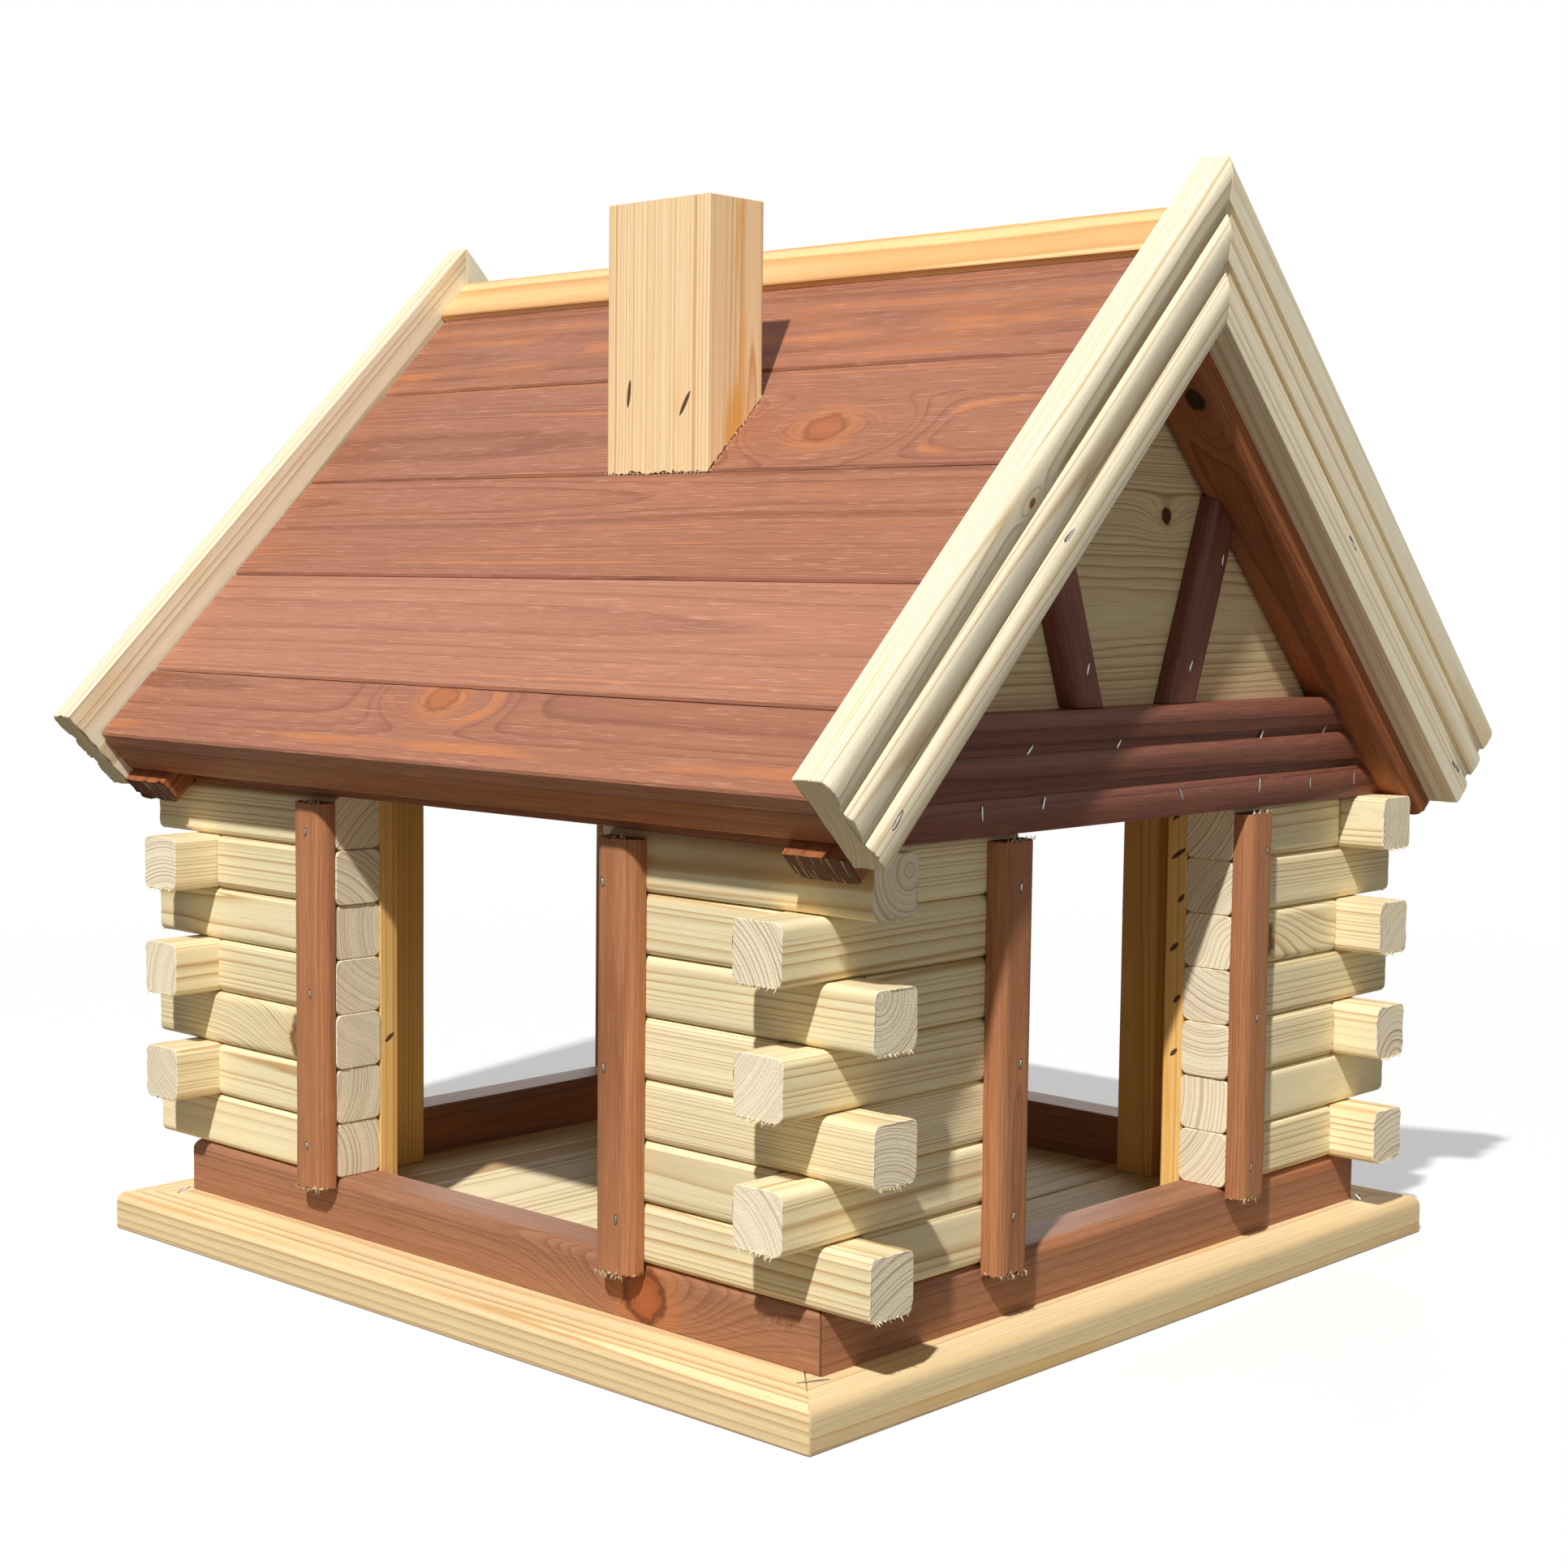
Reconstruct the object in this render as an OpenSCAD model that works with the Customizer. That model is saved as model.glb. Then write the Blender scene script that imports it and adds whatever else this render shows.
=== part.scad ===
// Log-cabin bird feeder: a boarded table, four corners of stacked laths and a boarded gable roof.
// X runs along the ridge, the front with the chimney faces -Y and Z is up.
// The origin is the middle of the underside of the base. All sizes are in millimetres.

/* [Base frame] */
// Length of the base along the ridge
base_x = 400; // [392:1:440]
// Length of the base across the ridge
base_y = 394; // [384:1:430]
// Thickness of the base frame boards
base_high = 16; // [14:0.5:22]
// Width of the base frame boards
base_wide = 44; // [40:1:60]
// Radius of the upper outer edge of the base
base_round = 4; // [1:0.5:6]

/* [Floor] */
// Thickness of the floor boards
floor_thick = 8; // [6:0.5:12]
// Width of a floor board
floor_board = 64; // [56:1:72]
// Distance of the middle joint from the centre line
floor_shift = 20; // [10:1:30]
// Gap at each joint in the floor
floor_seam = 0.5; // [0.2:0.1:1]
// Width of the battens below the floor
floor_batten_wide = 22; // [16:1:34]
// Distance of the outer floor battens from the middle one
floor_batten_pitch = 112; // [90:1:120]

/* [Sill] */
// Height of the sill bars
sill_high = 22; // [18:0.5:28]
// Set-back of the sill from the outer faces of the logs
sill_set = 1; // [0:0.5:3]
// Radius of the upper outer edge of the sill
sill_round = 4; // [2:0.5:6]

/* [Log walls] */
// Length of the walls along the ridge, over the outer faces
wall_x = 364; // [356:1:372]
// Length of the walls across the ridge, over the outer faces
wall_y = 344; // [336:1:352]
// Depth of a log from its outer to its inner face
log_deep = 22; // [18:0.5:26]
// Height of a log
log_high = 21.8; // [18:0.1:24]
// Gap between two courses of logs
log_seam = 0.2; // [0.1:0.1:0.6]
// Radius of the edges of the logs
log_round = 3; // [1:0.5:5]
// Length by which a log runs past the corner
log_nose = 21; // [12:0.5:24]
// Width of the front and back openings
opening_x = 158; // [120:1:180]
// Width of the side openings
opening_y = 138; // [110:1:160]

/* [Posts and jambs] */
// Width of the outer posts
post_wide = 19; // [14:0.5:26]
// Thickness of the outer posts
post_thick = 8; // [5:0.5:12]
// Radius of the outer edges of the posts
post_round = 5; // [1:0.5:6]
// Length by which a post laps the sill
post_lap = 4; // [2:0.5:12]
// Gap from the top of a post to the top of the wall
post_short = 2.5; // [1:0.5:8]
// Width of the battens inside the openings
jamb_wide = 19; // [14:0.5:26]
// Thickness of the battens inside the openings
jamb_thick = 9; // [6:0.5:14]

/* [Rafters] */
// Slope of the roof in degrees
pitch = 45; // [40:1:48]
// Width of a rafter along the ridge
rafter_wide = 28.5; // [22:0.5:34]
// Depth of a rafter, square to the slope
rafter_deep = 27; // [24:0.5:32]
// Radius of the edges of the rafters
rafter_round = 4; // [1:0.5:6]
// Length of a rafter beyond the wall, along the slope
rafter_tail = 11.5; // [8:0.5:20]

/* [Roof boards] */
// Thickness of the roof boards
board_thick = 8; // [6:0.5:12]
// Width of a full roof board
board_wide = 58; // [52:1:62]
// Width of the narrow board at the eaves
eave_board_wide = 38; // [26:1:44]
// Length of the boards beyond the wall, along the slope
eave_reach = 6; // [4:0.5:12]
// Gap between two roof boards
board_seam = 0.4; // [0.2:0.1:1]
// Size of the bevel along the edges of a roof board
board_bevel = 0.9; // [0.3:0.1:2]
// Gap from the ends of the boards to the barge boards
board_end_gap = 1; // [0.5:0.5:4]
// Side of the square lath under the lowest board
eave_lath = 15; // [10:0.5:18]
// Radius of the lower edges of that lath
eave_lath_round = 2; // [0.5:0.5:4]
// Width of the strips that cover the ridge
ridge_strip_wide = 23; // [16:1:34]
// Thickness of the ridge strips
ridge_strip_thick = 3.5; // [3:0.5:7]

/* [Stepped moulding] */
// Width of the moulding
mould_wide = 42; // [38:1:48]
// Thickness of the moulding
mould_thick = 14; // [11:0.5:18]
// Width of each groove
groove_wide = 3.4; // [2:0.1:6]
// Depth of each groove below the crest of a step
groove_deep = 2.6; // [2:0.1:4]
// Fall of a step's round face from its crest to its upper edge
crest_up = 1.8; // [0.5:0.1:1.9]
// Fall of a step's round face from its crest to its lower edge
crest_low = 0.9; // [0.3:0.1:1.9]
// Share of a step's width that lies above its crest
crest_share = 0.4; // [0.3:0.05:0.7]
// Share of the width taken by the lowest step
wide_step = 0.3; // [0.26:0.01:0.42]

/* [Barge boards] */
// Height of the barge boards above the roof boards, square to the slope
barge_rise = 15; // [8:0.5:18]
// Length of the barge boards beyond the wall, along the slope
barge_tail = 11; // [8:0.5:20]

/* [Gables] */
// Thickness of the gable panels
gable_thick = 12; // [8:0.5:16]
// Set-back of the gable panels from the outer faces of the logs
gable_set = 6; // [3:0.5:9]
// Lean of the gable struts in degrees
strut_lean = 20; // [12:1:26]
// Distance of a strut's foot from the middle
strut_foot = 30; // [20:1:40]

/* [Chimney] */
// Width of the chimney along the ridge
chimney_x = 56; // [40:1:70]
// Depth of the chimney across the ridge
chimney_y = 30; // [24:1:44]
// Length of the front face of the chimney
chimney_high = 105; // [70:1:130]
// Distance from the ridge to the back of the chimney
chimney_back = 62; // [40:1:80]
// Distance of the chimney from the middle of the ridge
chimney_shift = 19; // [-60:1:60]

/* [Hidden] */
CORNERS = ["front_left", "front_right", "back_left", "back_right"];
SIDES = ["front", "back", "left", "right"];
SLOPES = ["front", "back"];

// Number of log courses, odd so that the top and bottom ones run along the ridge
COURSES = 7;
// Number of full-width boards on each slope, between the eave board and the ridge board
FULL_BOARDS = 3;
// Facets on a quarter turn of a rounded edge
QUARTER = 6;
// Parts of the round face of one step of the moulding
CREST_POINTS = 10;
// Longer than anything in the model, for cutting planes
FAR = 1000;
// Length by which a cutter runs past the faces that it cuts
SPARE = 1;

PINE = [0.90, 0.78, 0.55];
STAIN = [0.42, 0.22, 0.15];

sill_top = base_high + sill_high;
log_pitch = log_high + log_seam;
wall_top = sill_top + COURSES * log_pitch - log_seam;
sill_deep = log_deep - sill_set;
inner_x = wall_x / 2 - log_deep;
inner_y = wall_y / 2 - log_deep;

// The underside of the rafters rests on the rounded outer edge of the top logs
rest = (wall_y / 2 - log_round) * sin(pitch) + (wall_top - log_round) * cos(pitch) + log_round;
// Height where the two undersides would meet over the middle
peak = rest / cos(pitch);
// Distance down the slope, on the underside, from that peak to the wall
wall_line = wall_y / 2 * cos(pitch) + (peak - wall_top) * sin(pitch);
boards_low = rafter_deep;
boards_up = rafter_deep + board_thick;
eave_line = wall_line + eave_reach;
barge_up = boards_up + barge_rise;

gable_face = wall_x / 2 - gable_set;
gable_back = gable_face - gable_thick;
rafter_face = gable_face + rafter_wide;

// A section is drawn in its own plane; round edges are arcs of QUARTER facets.
function arc(centre, r, from, to) =
    [for (i = [0:QUARTER]) let (a = from + (to - from) * i / QUARTER) centre + r * [cos(a), sin(a)]];

// Rectangle from the origin with one radius for each corner, counter-clockwise from the origin
module bar_section(size, r) {
    corner = [[0, 0], [size[0], 0], size, [0, size[1]]];
    inward = [[1, 1], [-1, 1], [-1, -1], [1, -1]];
    polygon([for (i = [0:3])
        each r[i] > 0
            ? arc(corner[i] + r[i] * inward[i], r[i], 180 + 90 * i, 270 + 90 * i)
            : [corner[i]]]);
}

// Section of the stepped moulding: X is its thickness from the back, Y runs down across its width.
// Each step is a round face that falls away from its crest, by less on its lower side.
function fall(t) =
    t < crest_share
        ? crest_up * pow((crest_share - t) / crest_share, 2)
        : crest_low * pow((t - crest_share) / (1 - crest_share), 2);

function crest(top, wide) =
    [for (i = [0:CREST_POINTS])
        let (t = i / CREST_POINTS)
        [mould_thick - fall(t), -(top + wide * t)]];

module moulding_section() {
    wide = mould_wide * wide_step;
    narrow = (mould_wide - wide - 2 * groove_wide) / 2;
    floor_at = mould_thick - groove_deep;
    second = narrow + groove_wide;
    third = 2 * second;
    polygon(concat(
        [[0, 0]],
        crest(0, narrow),
        [[floor_at, -narrow], [floor_at, -second]],
        crest(second, narrow),
        [[floor_at, -second - narrow], [floor_at, -third]],
        crest(third, wide),
        [[0, -mould_wide]]));
}

// Draws one quarter of the house in X > 0, Y > 0 and turns it over into the named corner
module at_corner(name) {
    left = name == "front_left" || name == "back_left";
    front = name == "front_left" || name == "front_right";
    mirror([left ? 1 : 0, 0, 0])
        mirror([0, front ? 1 : 0, 0])
            children();
}

// Draws one slope on the +Y side and turns it over to the front
module at_slope(name) {
    mirror([0, name == "front" ? 1 : 0, 0])
        children();
}

// Lays a bar along X, its section in Y and Z
module along_x(from, to) {
    translate([from, 0, 0])
        rotate([90, 0, 90])
            linear_extrude(to - from)
                children();
}

// Lays a bar along Y; the section's X points to +X and its Y points up
module along_y(from, to) {
    translate([0, to, 0])
        rotate([90, 0, 0])
            linear_extrude(to - from)
                children();
}

// Local frame of the +Y slope: X along the ridge, Y down the slope and Z square to it.
// Its origin is the peak of the rafters' undersides, and everything past the ridge is cut away.
module on_slope() {
    intersection() {
        translate([0, 0, peak])
            rotate([-pitch, 0, 0])
                children();
        translate([-FAR / 2, 0, 0])
            cube([FAR, FAR, FAR]);
    }
}

// One bar of a mitred frame that lies flat; span is the frame's outer size along X and Y
module mitred_bar(name, span, wide, high, round_edge) {
    turned = name == "left" || name == "right";
    half = (turned ? span[1] : span[0]) / 2;
    out = (turned ? span[0] : span[1]) / 2;
    rotate(90 * search([name], ["front", "right", "back", "left"])[0])
        intersection() {
            translate([0, -out, 0])
                along_x(-half, half)
                    bar_section([wide, high], [0, 0, 0, round_edge]);
            linear_extrude(high)
                polygon([
                    [-half, -out],
                    [half, -out],
                    [half - wide, wide - out],
                    [wide - half, wide - out]]);
        }
}

module base_board(name) {
    color(PINE)
        mitred_bar(name, [base_x, base_y], base_wide, base_high, base_round);
}

// Inner edges of the base frame, which hold the floor
bed_x = base_x / 2 - base_wide;
bed_y = base_y / 2 - base_wide;
floor_joints = [for (i = [-2:1]) floor_shift + i * floor_board];

module floor_boards() {
    edges = concat([-bed_x - floor_seam / 2], floor_joints, [bed_x + floor_seam / 2]);
    color(PINE)
        for (i = [0:len(edges) - 2])
            translate([edges[i] + floor_seam / 2, -bed_y, base_high - floor_thick])
                cube([edges[i + 1] - edges[i] - floor_seam, 2 * bed_y, floor_thick]);
}

module floor_battens() {
    color(PINE)
        for (i = [-1:1])
            translate([-bed_x, i * floor_batten_pitch - floor_batten_wide / 2, 0])
                cube([2 * bed_x, floor_batten_wide, base_high - floor_thick]);
}

module sill(name) {
    span = [wall_x - 2 * sill_set, wall_y - 2 * sill_set];
    color(STAIN)
        translate([0, 0, base_high])
            mitred_bar(name, span, sill_deep, sill_high, sill_round);
}

// One log lies along X or Y from the opening to the corner; a through log runs past the corner
module log_section() {
    bar_section([log_deep, log_high], [log_round, log_round, log_round, log_round]);
}

// Courses are counted from the sill; the first and every second one above it run through along X
module long_logs(name) {
    color(PINE)
        at_corner(name)
            for (i = [0:COURSES - 1])
                translate([0, inner_y, sill_top + i * log_pitch])
                    along_x(opening_x / 2, i % 2 == 0 ? wall_x / 2 + log_nose : inner_x)
                        log_section();
}

module gable_logs(name) {
    color(PINE)
        at_corner(name)
            for (i = [0:COURSES - 1])
                translate([inner_x, 0, sill_top + i * log_pitch])
                    along_y(opening_y / 2, i % 2 == 0 ? inner_y : wall_y / 2 + log_nose)
                        log_section();
}

// Posts stand outside the ends of the logs, their rounded edges outwards
module post_section() {
    bar_section([post_wide, post_thick], [0, 0, post_round, post_round]);
}

post_foot = sill_top - post_lap;
post_head = wall_top - post_short;

module long_post(name) {
    color(STAIN)
        at_corner(name)
            translate([opening_x / 2, wall_y / 2, post_foot])
                linear_extrude(post_head - post_foot)
                    post_section();
}

module gable_post(name) {
    color(STAIN)
        at_corner(name)
            translate([wall_x / 2, opening_y / 2 + post_wide, post_foot])
                rotate(-90)
                    linear_extrude(post_head - post_foot)
                        post_section();
}

// Jamb battens tie the courses together inside, from the floor to the top of the wall
module long_jamb(name) {
    color(PINE)
        at_corner(name)
            translate([opening_x / 2, inner_y - jamb_thick, base_high])
                cube([jamb_wide, jamb_thick, wall_top - base_high]);
}

module gable_jamb(name) {
    color(PINE)
        at_corner(name)
            translate([inner_x - jamb_thick, opening_y / 2, base_high])
                cube([jamb_thick, jamb_wide, wall_top - base_high]);
}

// The wall plate closes the top of the front and back walls between the rafters
module wall_plate(name) {
    color(STAIN)
        at_slope(name)
            translate([0, inner_y, wall_top])
                along_x(-gable_face, gable_face)
                    bar_section([log_deep, log_high], [0, 0, log_round, 0]);
}

rafter_end = wall_line + rafter_tail;

module rafter(name) {
    color(STAIN)
        at_corner(name)
            on_slope()
                difference() {
                    translate([gable_face, 0, 0])
                        along_y(-FAR / 4, rafter_end)
                            bar_section([rafter_wide, rafter_deep], [rafter_round, rafter_round, 0, 0]);
                    translate([gable_face - SPARE, eave_line - eave_lath, rafter_deep - eave_lath])
                        cube([rafter_wide + 2 * SPARE, FAR, FAR]);
                }
}

// The lath lies in a rebate across the ends of the rafters, flush with the lowest board
module eave_lath(name) {
    color(STAIN)
        at_slope(name)
            on_slope()
                translate([0, eave_line - eave_lath, rafter_deep - eave_lath])
                    along_x(-rafter_face, rafter_face)
                        bar_section([eave_lath, eave_lath], [0, eave_lath_round, 0, 0]);
}

// Outline of everything below the roof boards, in Y and Z
module under_roof(width) {
    top = peak + boards_low / cos(pitch);
    polygon([
        [-width, wall_top],
        [width, wall_top],
        [width, top - width * tan(pitch)],
        [0, top],
        [-width, top - width * tan(pitch)]]);
}

module gable_panel(name) {
    color(PINE)
        mirror([name == "left" ? 1 : 0, 0, 0])
            along_x(gable_back, gable_face)
                under_roof(inner_y);
}

// The beam fills the foot of the gable between the undersides of the rafters
module gable_beam(name) {
    color(STAIN)
        mirror([name == "left" ? 1 : 0, 0, 0])
            intersection() {
                translate([gable_face, 0, wall_top + mould_wide])
                    along_y(-wall_y / 2, wall_y / 2)
                        moulding_section();
                along_x(gable_face, gable_face + mould_thick)
                    polygon([
                        [-(peak - wall_top) / tan(pitch), wall_top],
                        [(peak - wall_top) / tan(pitch), wall_top],
                        [0, peak]]);
            }
}

// Struts stand on the beam, lean outwards and are cut to the rafters
module gable_strut(name) {
    color(STAIN)
        at_corner(name)
            intersection() {
                translate([gable_face, strut_foot, wall_top + mould_wide])
                    rotate([-strut_lean, 0, 0])
                        translate([0, post_wide / 2, -post_wide])
                            rotate(-90)
                                linear_extrude(peak)
                                    post_section();
                along_x(gable_face, gable_face + post_thick)
                    polygon([
                        [0, wall_top + mould_wide],
                        [(peak - wall_top - mould_wide) / tan(pitch), wall_top + mould_wide],
                        [0, peak]]);
            }
}

// Lower edges of the boards, from the eave up to the ridge
board_edges = concat(
    [eave_line],
    [for (i = [0:FULL_BOARDS]) eave_line - eave_board_wide - i * board_wide],
    [-boards_up * tan(pitch) - board_thick]);

module board_section(wide) {
    polygon([
        [0, 0],
        [wide, 0],
        [wide, board_thick - board_bevel],
        [wide - board_bevel, board_thick],
        [board_bevel, board_thick],
        [0, board_thick - board_bevel]]);
}

module roof_boards(name) {
    half = rafter_face - board_end_gap;
    color(STAIN)
        at_slope(name)
            for (i = [0:len(board_edges) - 2])
                on_slope()
                    translate([0, board_edges[i + 1] + board_seam, boards_low])
                        along_x(-half, half)
                            board_section(board_edges[i] - board_edges[i + 1] - board_seam);
}

module ridge_strip(name) {
    start = -(boards_up + ridge_strip_thick) * tan(pitch);
    color(PINE)
        at_slope(name)
            on_slope()
                translate([-rafter_face, start, boards_up])
                    cube([2 * rafter_face, ridge_strip_wide, ridge_strip_thick]);
}

module barge_board(name) {
    end = wall_line + barge_tail;
    color(PINE)
        at_corner(name)
            on_slope()
                translate([rafter_face, 0, barge_up])
                    along_y(-FAR / 4, end)
                        moulding_section();
}

// The chimney stands on the front slope, its foot cut to the slope
module chimney() {
    roof_peak = peak + boards_up / cos(pitch);
    front = chimney_back + chimney_y;
    foot = roof_peak - front * tan(pitch);
    color(PINE)
        along_x(chimney_shift - chimney_x / 2, chimney_shift + chimney_x / 2)
            polygon([
                [-front, foot],
                [-chimney_back, foot + chimney_y * tan(pitch)],
                [-chimney_back, foot + chimney_high],
                [-front, foot + chimney_high]]);
}

base_board("front");  // base_board_front
base_board("back");  // base_board_back
base_board("left");  // base_board_left
base_board("right");  // base_board_right
floor_boards();
floor_battens();
sill("front");  // sill_front
sill("back");  // sill_back
sill("left");  // sill_left
sill("right");  // sill_right
long_logs("front_left");  // long_logs_front_left
long_logs("front_right");  // long_logs_front_right
long_logs("back_left");  // long_logs_back_left
long_logs("back_right");  // long_logs_back_right
gable_logs("front_left");  // gable_logs_front_left
gable_logs("front_right");  // gable_logs_front_right
gable_logs("back_left");  // gable_logs_back_left
gable_logs("back_right");  // gable_logs_back_right
long_post("front_left");  // long_post_front_left
long_post("front_right");  // long_post_front_right
long_post("back_left");  // long_post_back_left
long_post("back_right");  // long_post_back_right
gable_post("front_left");  // gable_post_front_left
gable_post("front_right");  // gable_post_front_right
gable_post("back_left");  // gable_post_back_left
gable_post("back_right");  // gable_post_back_right
long_jamb("front_left");  // long_jamb_front_left
long_jamb("front_right");  // long_jamb_front_right
long_jamb("back_left");  // long_jamb_back_left
long_jamb("back_right");  // long_jamb_back_right
gable_jamb("front_left");  // gable_jamb_front_left
gable_jamb("front_right");  // gable_jamb_front_right
gable_jamb("back_left");  // gable_jamb_back_left
gable_jamb("back_right");  // gable_jamb_back_right
wall_plate("front");  // wall_plate_front
wall_plate("back");  // wall_plate_back
rafter("front_left");  // rafter_front_left
rafter("front_right");  // rafter_front_right
rafter("back_left");  // rafter_back_left
rafter("back_right");  // rafter_back_right
gable_panel("left");  // gable_panel_left
gable_panel("right");  // gable_panel_right
gable_beam("left");  // gable_beam_left
gable_beam("right");  // gable_beam_right
gable_strut("front_left");  // gable_strut_front_left
gable_strut("front_right");  // gable_strut_front_right
gable_strut("back_left");  // gable_strut_back_left
gable_strut("back_right");  // gable_strut_back_right
eave_lath("front");  // eave_lath_front
eave_lath("back");  // eave_lath_back
roof_boards("front");  // roof_boards_front
roof_boards("back");  // roof_boards_back
ridge_strip("front");  // ridge_strip_front
ridge_strip("back");  // ridge_strip_back
barge_board("front_left");  // barge_board_front_left
barge_board("front_right");  // barge_board_front_right
barge_board("back_left");  // barge_board_back_left
barge_board("back_right");  // barge_board_back_right
chimney();
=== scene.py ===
"""Dresses the log-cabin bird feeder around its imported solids.

Every board is a mesh of its own that knows how its grain runs, so one wood shader can show straight
lines along a face, arcs on a sawn end and a knot where a branch was. Sizes are in millimetres until
a mesh is written, and they repeat the named sizes of the solids.
"""

import logging
import math
from collections.abc import Iterator, Mapping, Sequence
from dataclasses import dataclass, field
from enum import Enum
from functools import partial

import bmesh
import bpy
import numpy as np
from mathutils import Matrix, Vector
from mathutils.bvhtree import BVHTree


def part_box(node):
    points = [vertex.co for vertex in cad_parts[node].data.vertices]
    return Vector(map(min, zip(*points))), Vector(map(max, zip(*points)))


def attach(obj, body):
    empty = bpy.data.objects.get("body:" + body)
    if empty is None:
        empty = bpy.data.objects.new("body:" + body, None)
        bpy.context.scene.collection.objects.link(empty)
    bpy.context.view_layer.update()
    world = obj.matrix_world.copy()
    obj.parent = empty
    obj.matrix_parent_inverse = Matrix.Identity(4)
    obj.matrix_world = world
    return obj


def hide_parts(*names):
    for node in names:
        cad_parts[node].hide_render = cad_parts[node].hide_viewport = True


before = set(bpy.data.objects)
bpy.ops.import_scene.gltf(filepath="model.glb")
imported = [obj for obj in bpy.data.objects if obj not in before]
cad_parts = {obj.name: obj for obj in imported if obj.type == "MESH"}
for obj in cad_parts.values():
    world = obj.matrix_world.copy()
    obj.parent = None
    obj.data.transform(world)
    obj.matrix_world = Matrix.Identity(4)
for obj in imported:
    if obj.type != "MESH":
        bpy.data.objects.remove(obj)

LOG = logging.getLogger("feeder")
MM = 0.001
BODY = "root"
# An end whose fibres are torn by at least this much shows bare wood; elsewhere the ends count as far away
ROUGH = 0.2
CLEAN = 99.0
# The rings of points along a board stand about this far apart, and its end edges are eased this much
RING_GAP = 24.0
END_EASE = 0.3
# A piece that is this far off the solids that it stands for gets a warning
LEAST_FAULT = 1.0
CORNERS = {
    "front_left": (-1, -1),
    "front_right": (1, -1),
    "back_left": (-1, 1),
    "back_right": (1, 1),
}
SLOPES = {"front": -1, "back": 1}
X, Y, Z = (1, 0, 0), (0, 1, 0), (0, 0, 1)
ORIGIN = (0, 0, 0)
GABLES = {"left": -1, "right": 1}

Colour = tuple[float, float, float]
Point = tuple[float, float]
Triple = tuple[float, float, float]
Edge = tuple[Vector, Vector, Vector]


def srgb(red: int, green: int, blue: int) -> Colour:
    """Turns a colour as a screen shows it into the linear values that a shader takes.

    Args:
        red: Red, 0 to 255.
        green: Green, 0 to 255.
        blue: Blue, 0 to 255.

    Returns:
        The three linear values, 0 to 1.
    """
    def linear(value: int) -> float:
        """Undoes the screen's curve for one channel."""
        share = value / 255
        return share / 12.92 if share <= 0.04045 else ((share + 0.055) / 1.055) ** 2.4

    return linear(red), linear(green), linear(blue)


class Wire:
    """A node's output that works in Python expressions, which add the Math nodes they need."""

    def __init__(self, graph: "Graph", socket: bpy.types.NodeSocket) -> None:
        """Keeps the socket and the graph that it belongs to."""
        self.graph = graph
        self.socket = socket

    def _join(self, operation: str, left: "Operand", right: "Operand") -> "Wire":
        """Adds the node for one operation.

        Args:
            operation: The name of the operation, the same in Math and in Vector Math.
            left: What stands left of the operator.
            right: What stands right of it.

        Returns:
            The result's wire.
        """
        sides = [left, right]
        if any(isinstance(side, Wire) and side.socket.type in ("VECTOR", "RGBA") for side in sides):
            sides = [(side,) * 3 if isinstance(side, (int, float)) else side for side in sides]
            return self.graph.out("ShaderNodeVectorMath", {"operation": operation}, dict(enumerate(sides)))
        return self.graph.out("ShaderNodeMath", {"operation": operation}, dict(enumerate(sides)))

    def __add__(self, other: "Operand") -> "Wire":
        """Sum."""
        return self._join("ADD", self, other)

    def __radd__(self, other: "Operand") -> "Wire":
        """Sum with the wire on the right."""
        return self._join("ADD", other, self)

    def __sub__(self, other: "Operand") -> "Wire":
        """Difference."""
        return self._join("SUBTRACT", self, other)

    def __rsub__(self, other: "Operand") -> "Wire":
        """Difference with the wire on the right."""
        return self._join("SUBTRACT", other, self)

    def __mul__(self, other: "Operand") -> "Wire":
        """Product."""
        return self._join("MULTIPLY", self, other)

    def __rmul__(self, other: "Operand") -> "Wire":
        """Product with the wire on the right."""
        return self._join("MULTIPLY", other, self)

    def __truediv__(self, other: "Operand") -> "Wire":
        """Quotient."""
        return self._join("DIVIDE", self, other)

    def __rtruediv__(self, other: "Operand") -> "Wire":
        """Quotient with the wire on the right."""
        return self._join("DIVIDE", other, self)

    def maths(self, operation: str) -> "Wire":
        """Applies a Math operation of one operand."""
        return self.graph.out("ShaderNodeMath", {"operation": operation}, {0: self})

    def ramp(self, low: float, high: float) -> "Wire":
        """Rises smoothly from 0 at low to 1 at high, or falls where low is the larger."""
        return self.graph.out(
            "ShaderNodeMapRange",
            {"interpolation_type": "SMOOTHSTEP"},
            {0: self, 1: low, 2: high, 3: 0.0, 4: 1.0})

    def length(self) -> "Wire":
        """The length of a vector."""
        return self.graph.out("ShaderNodeVectorMath", {"operation": "LENGTH"}, {0: self}, "Value")

    def curve(self, *stops: Point) -> "Wire":
        """Passes the value through a ramp of grey stops, each a position and a value."""
        return self.graph.out("ShaderNodeValToRGB", {"stops": stops}, {0: self})


Operand = Wire | float | Sequence[float]
Settings = Mapping[str, object]
Sockets = Mapping[int | str, object]


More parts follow.
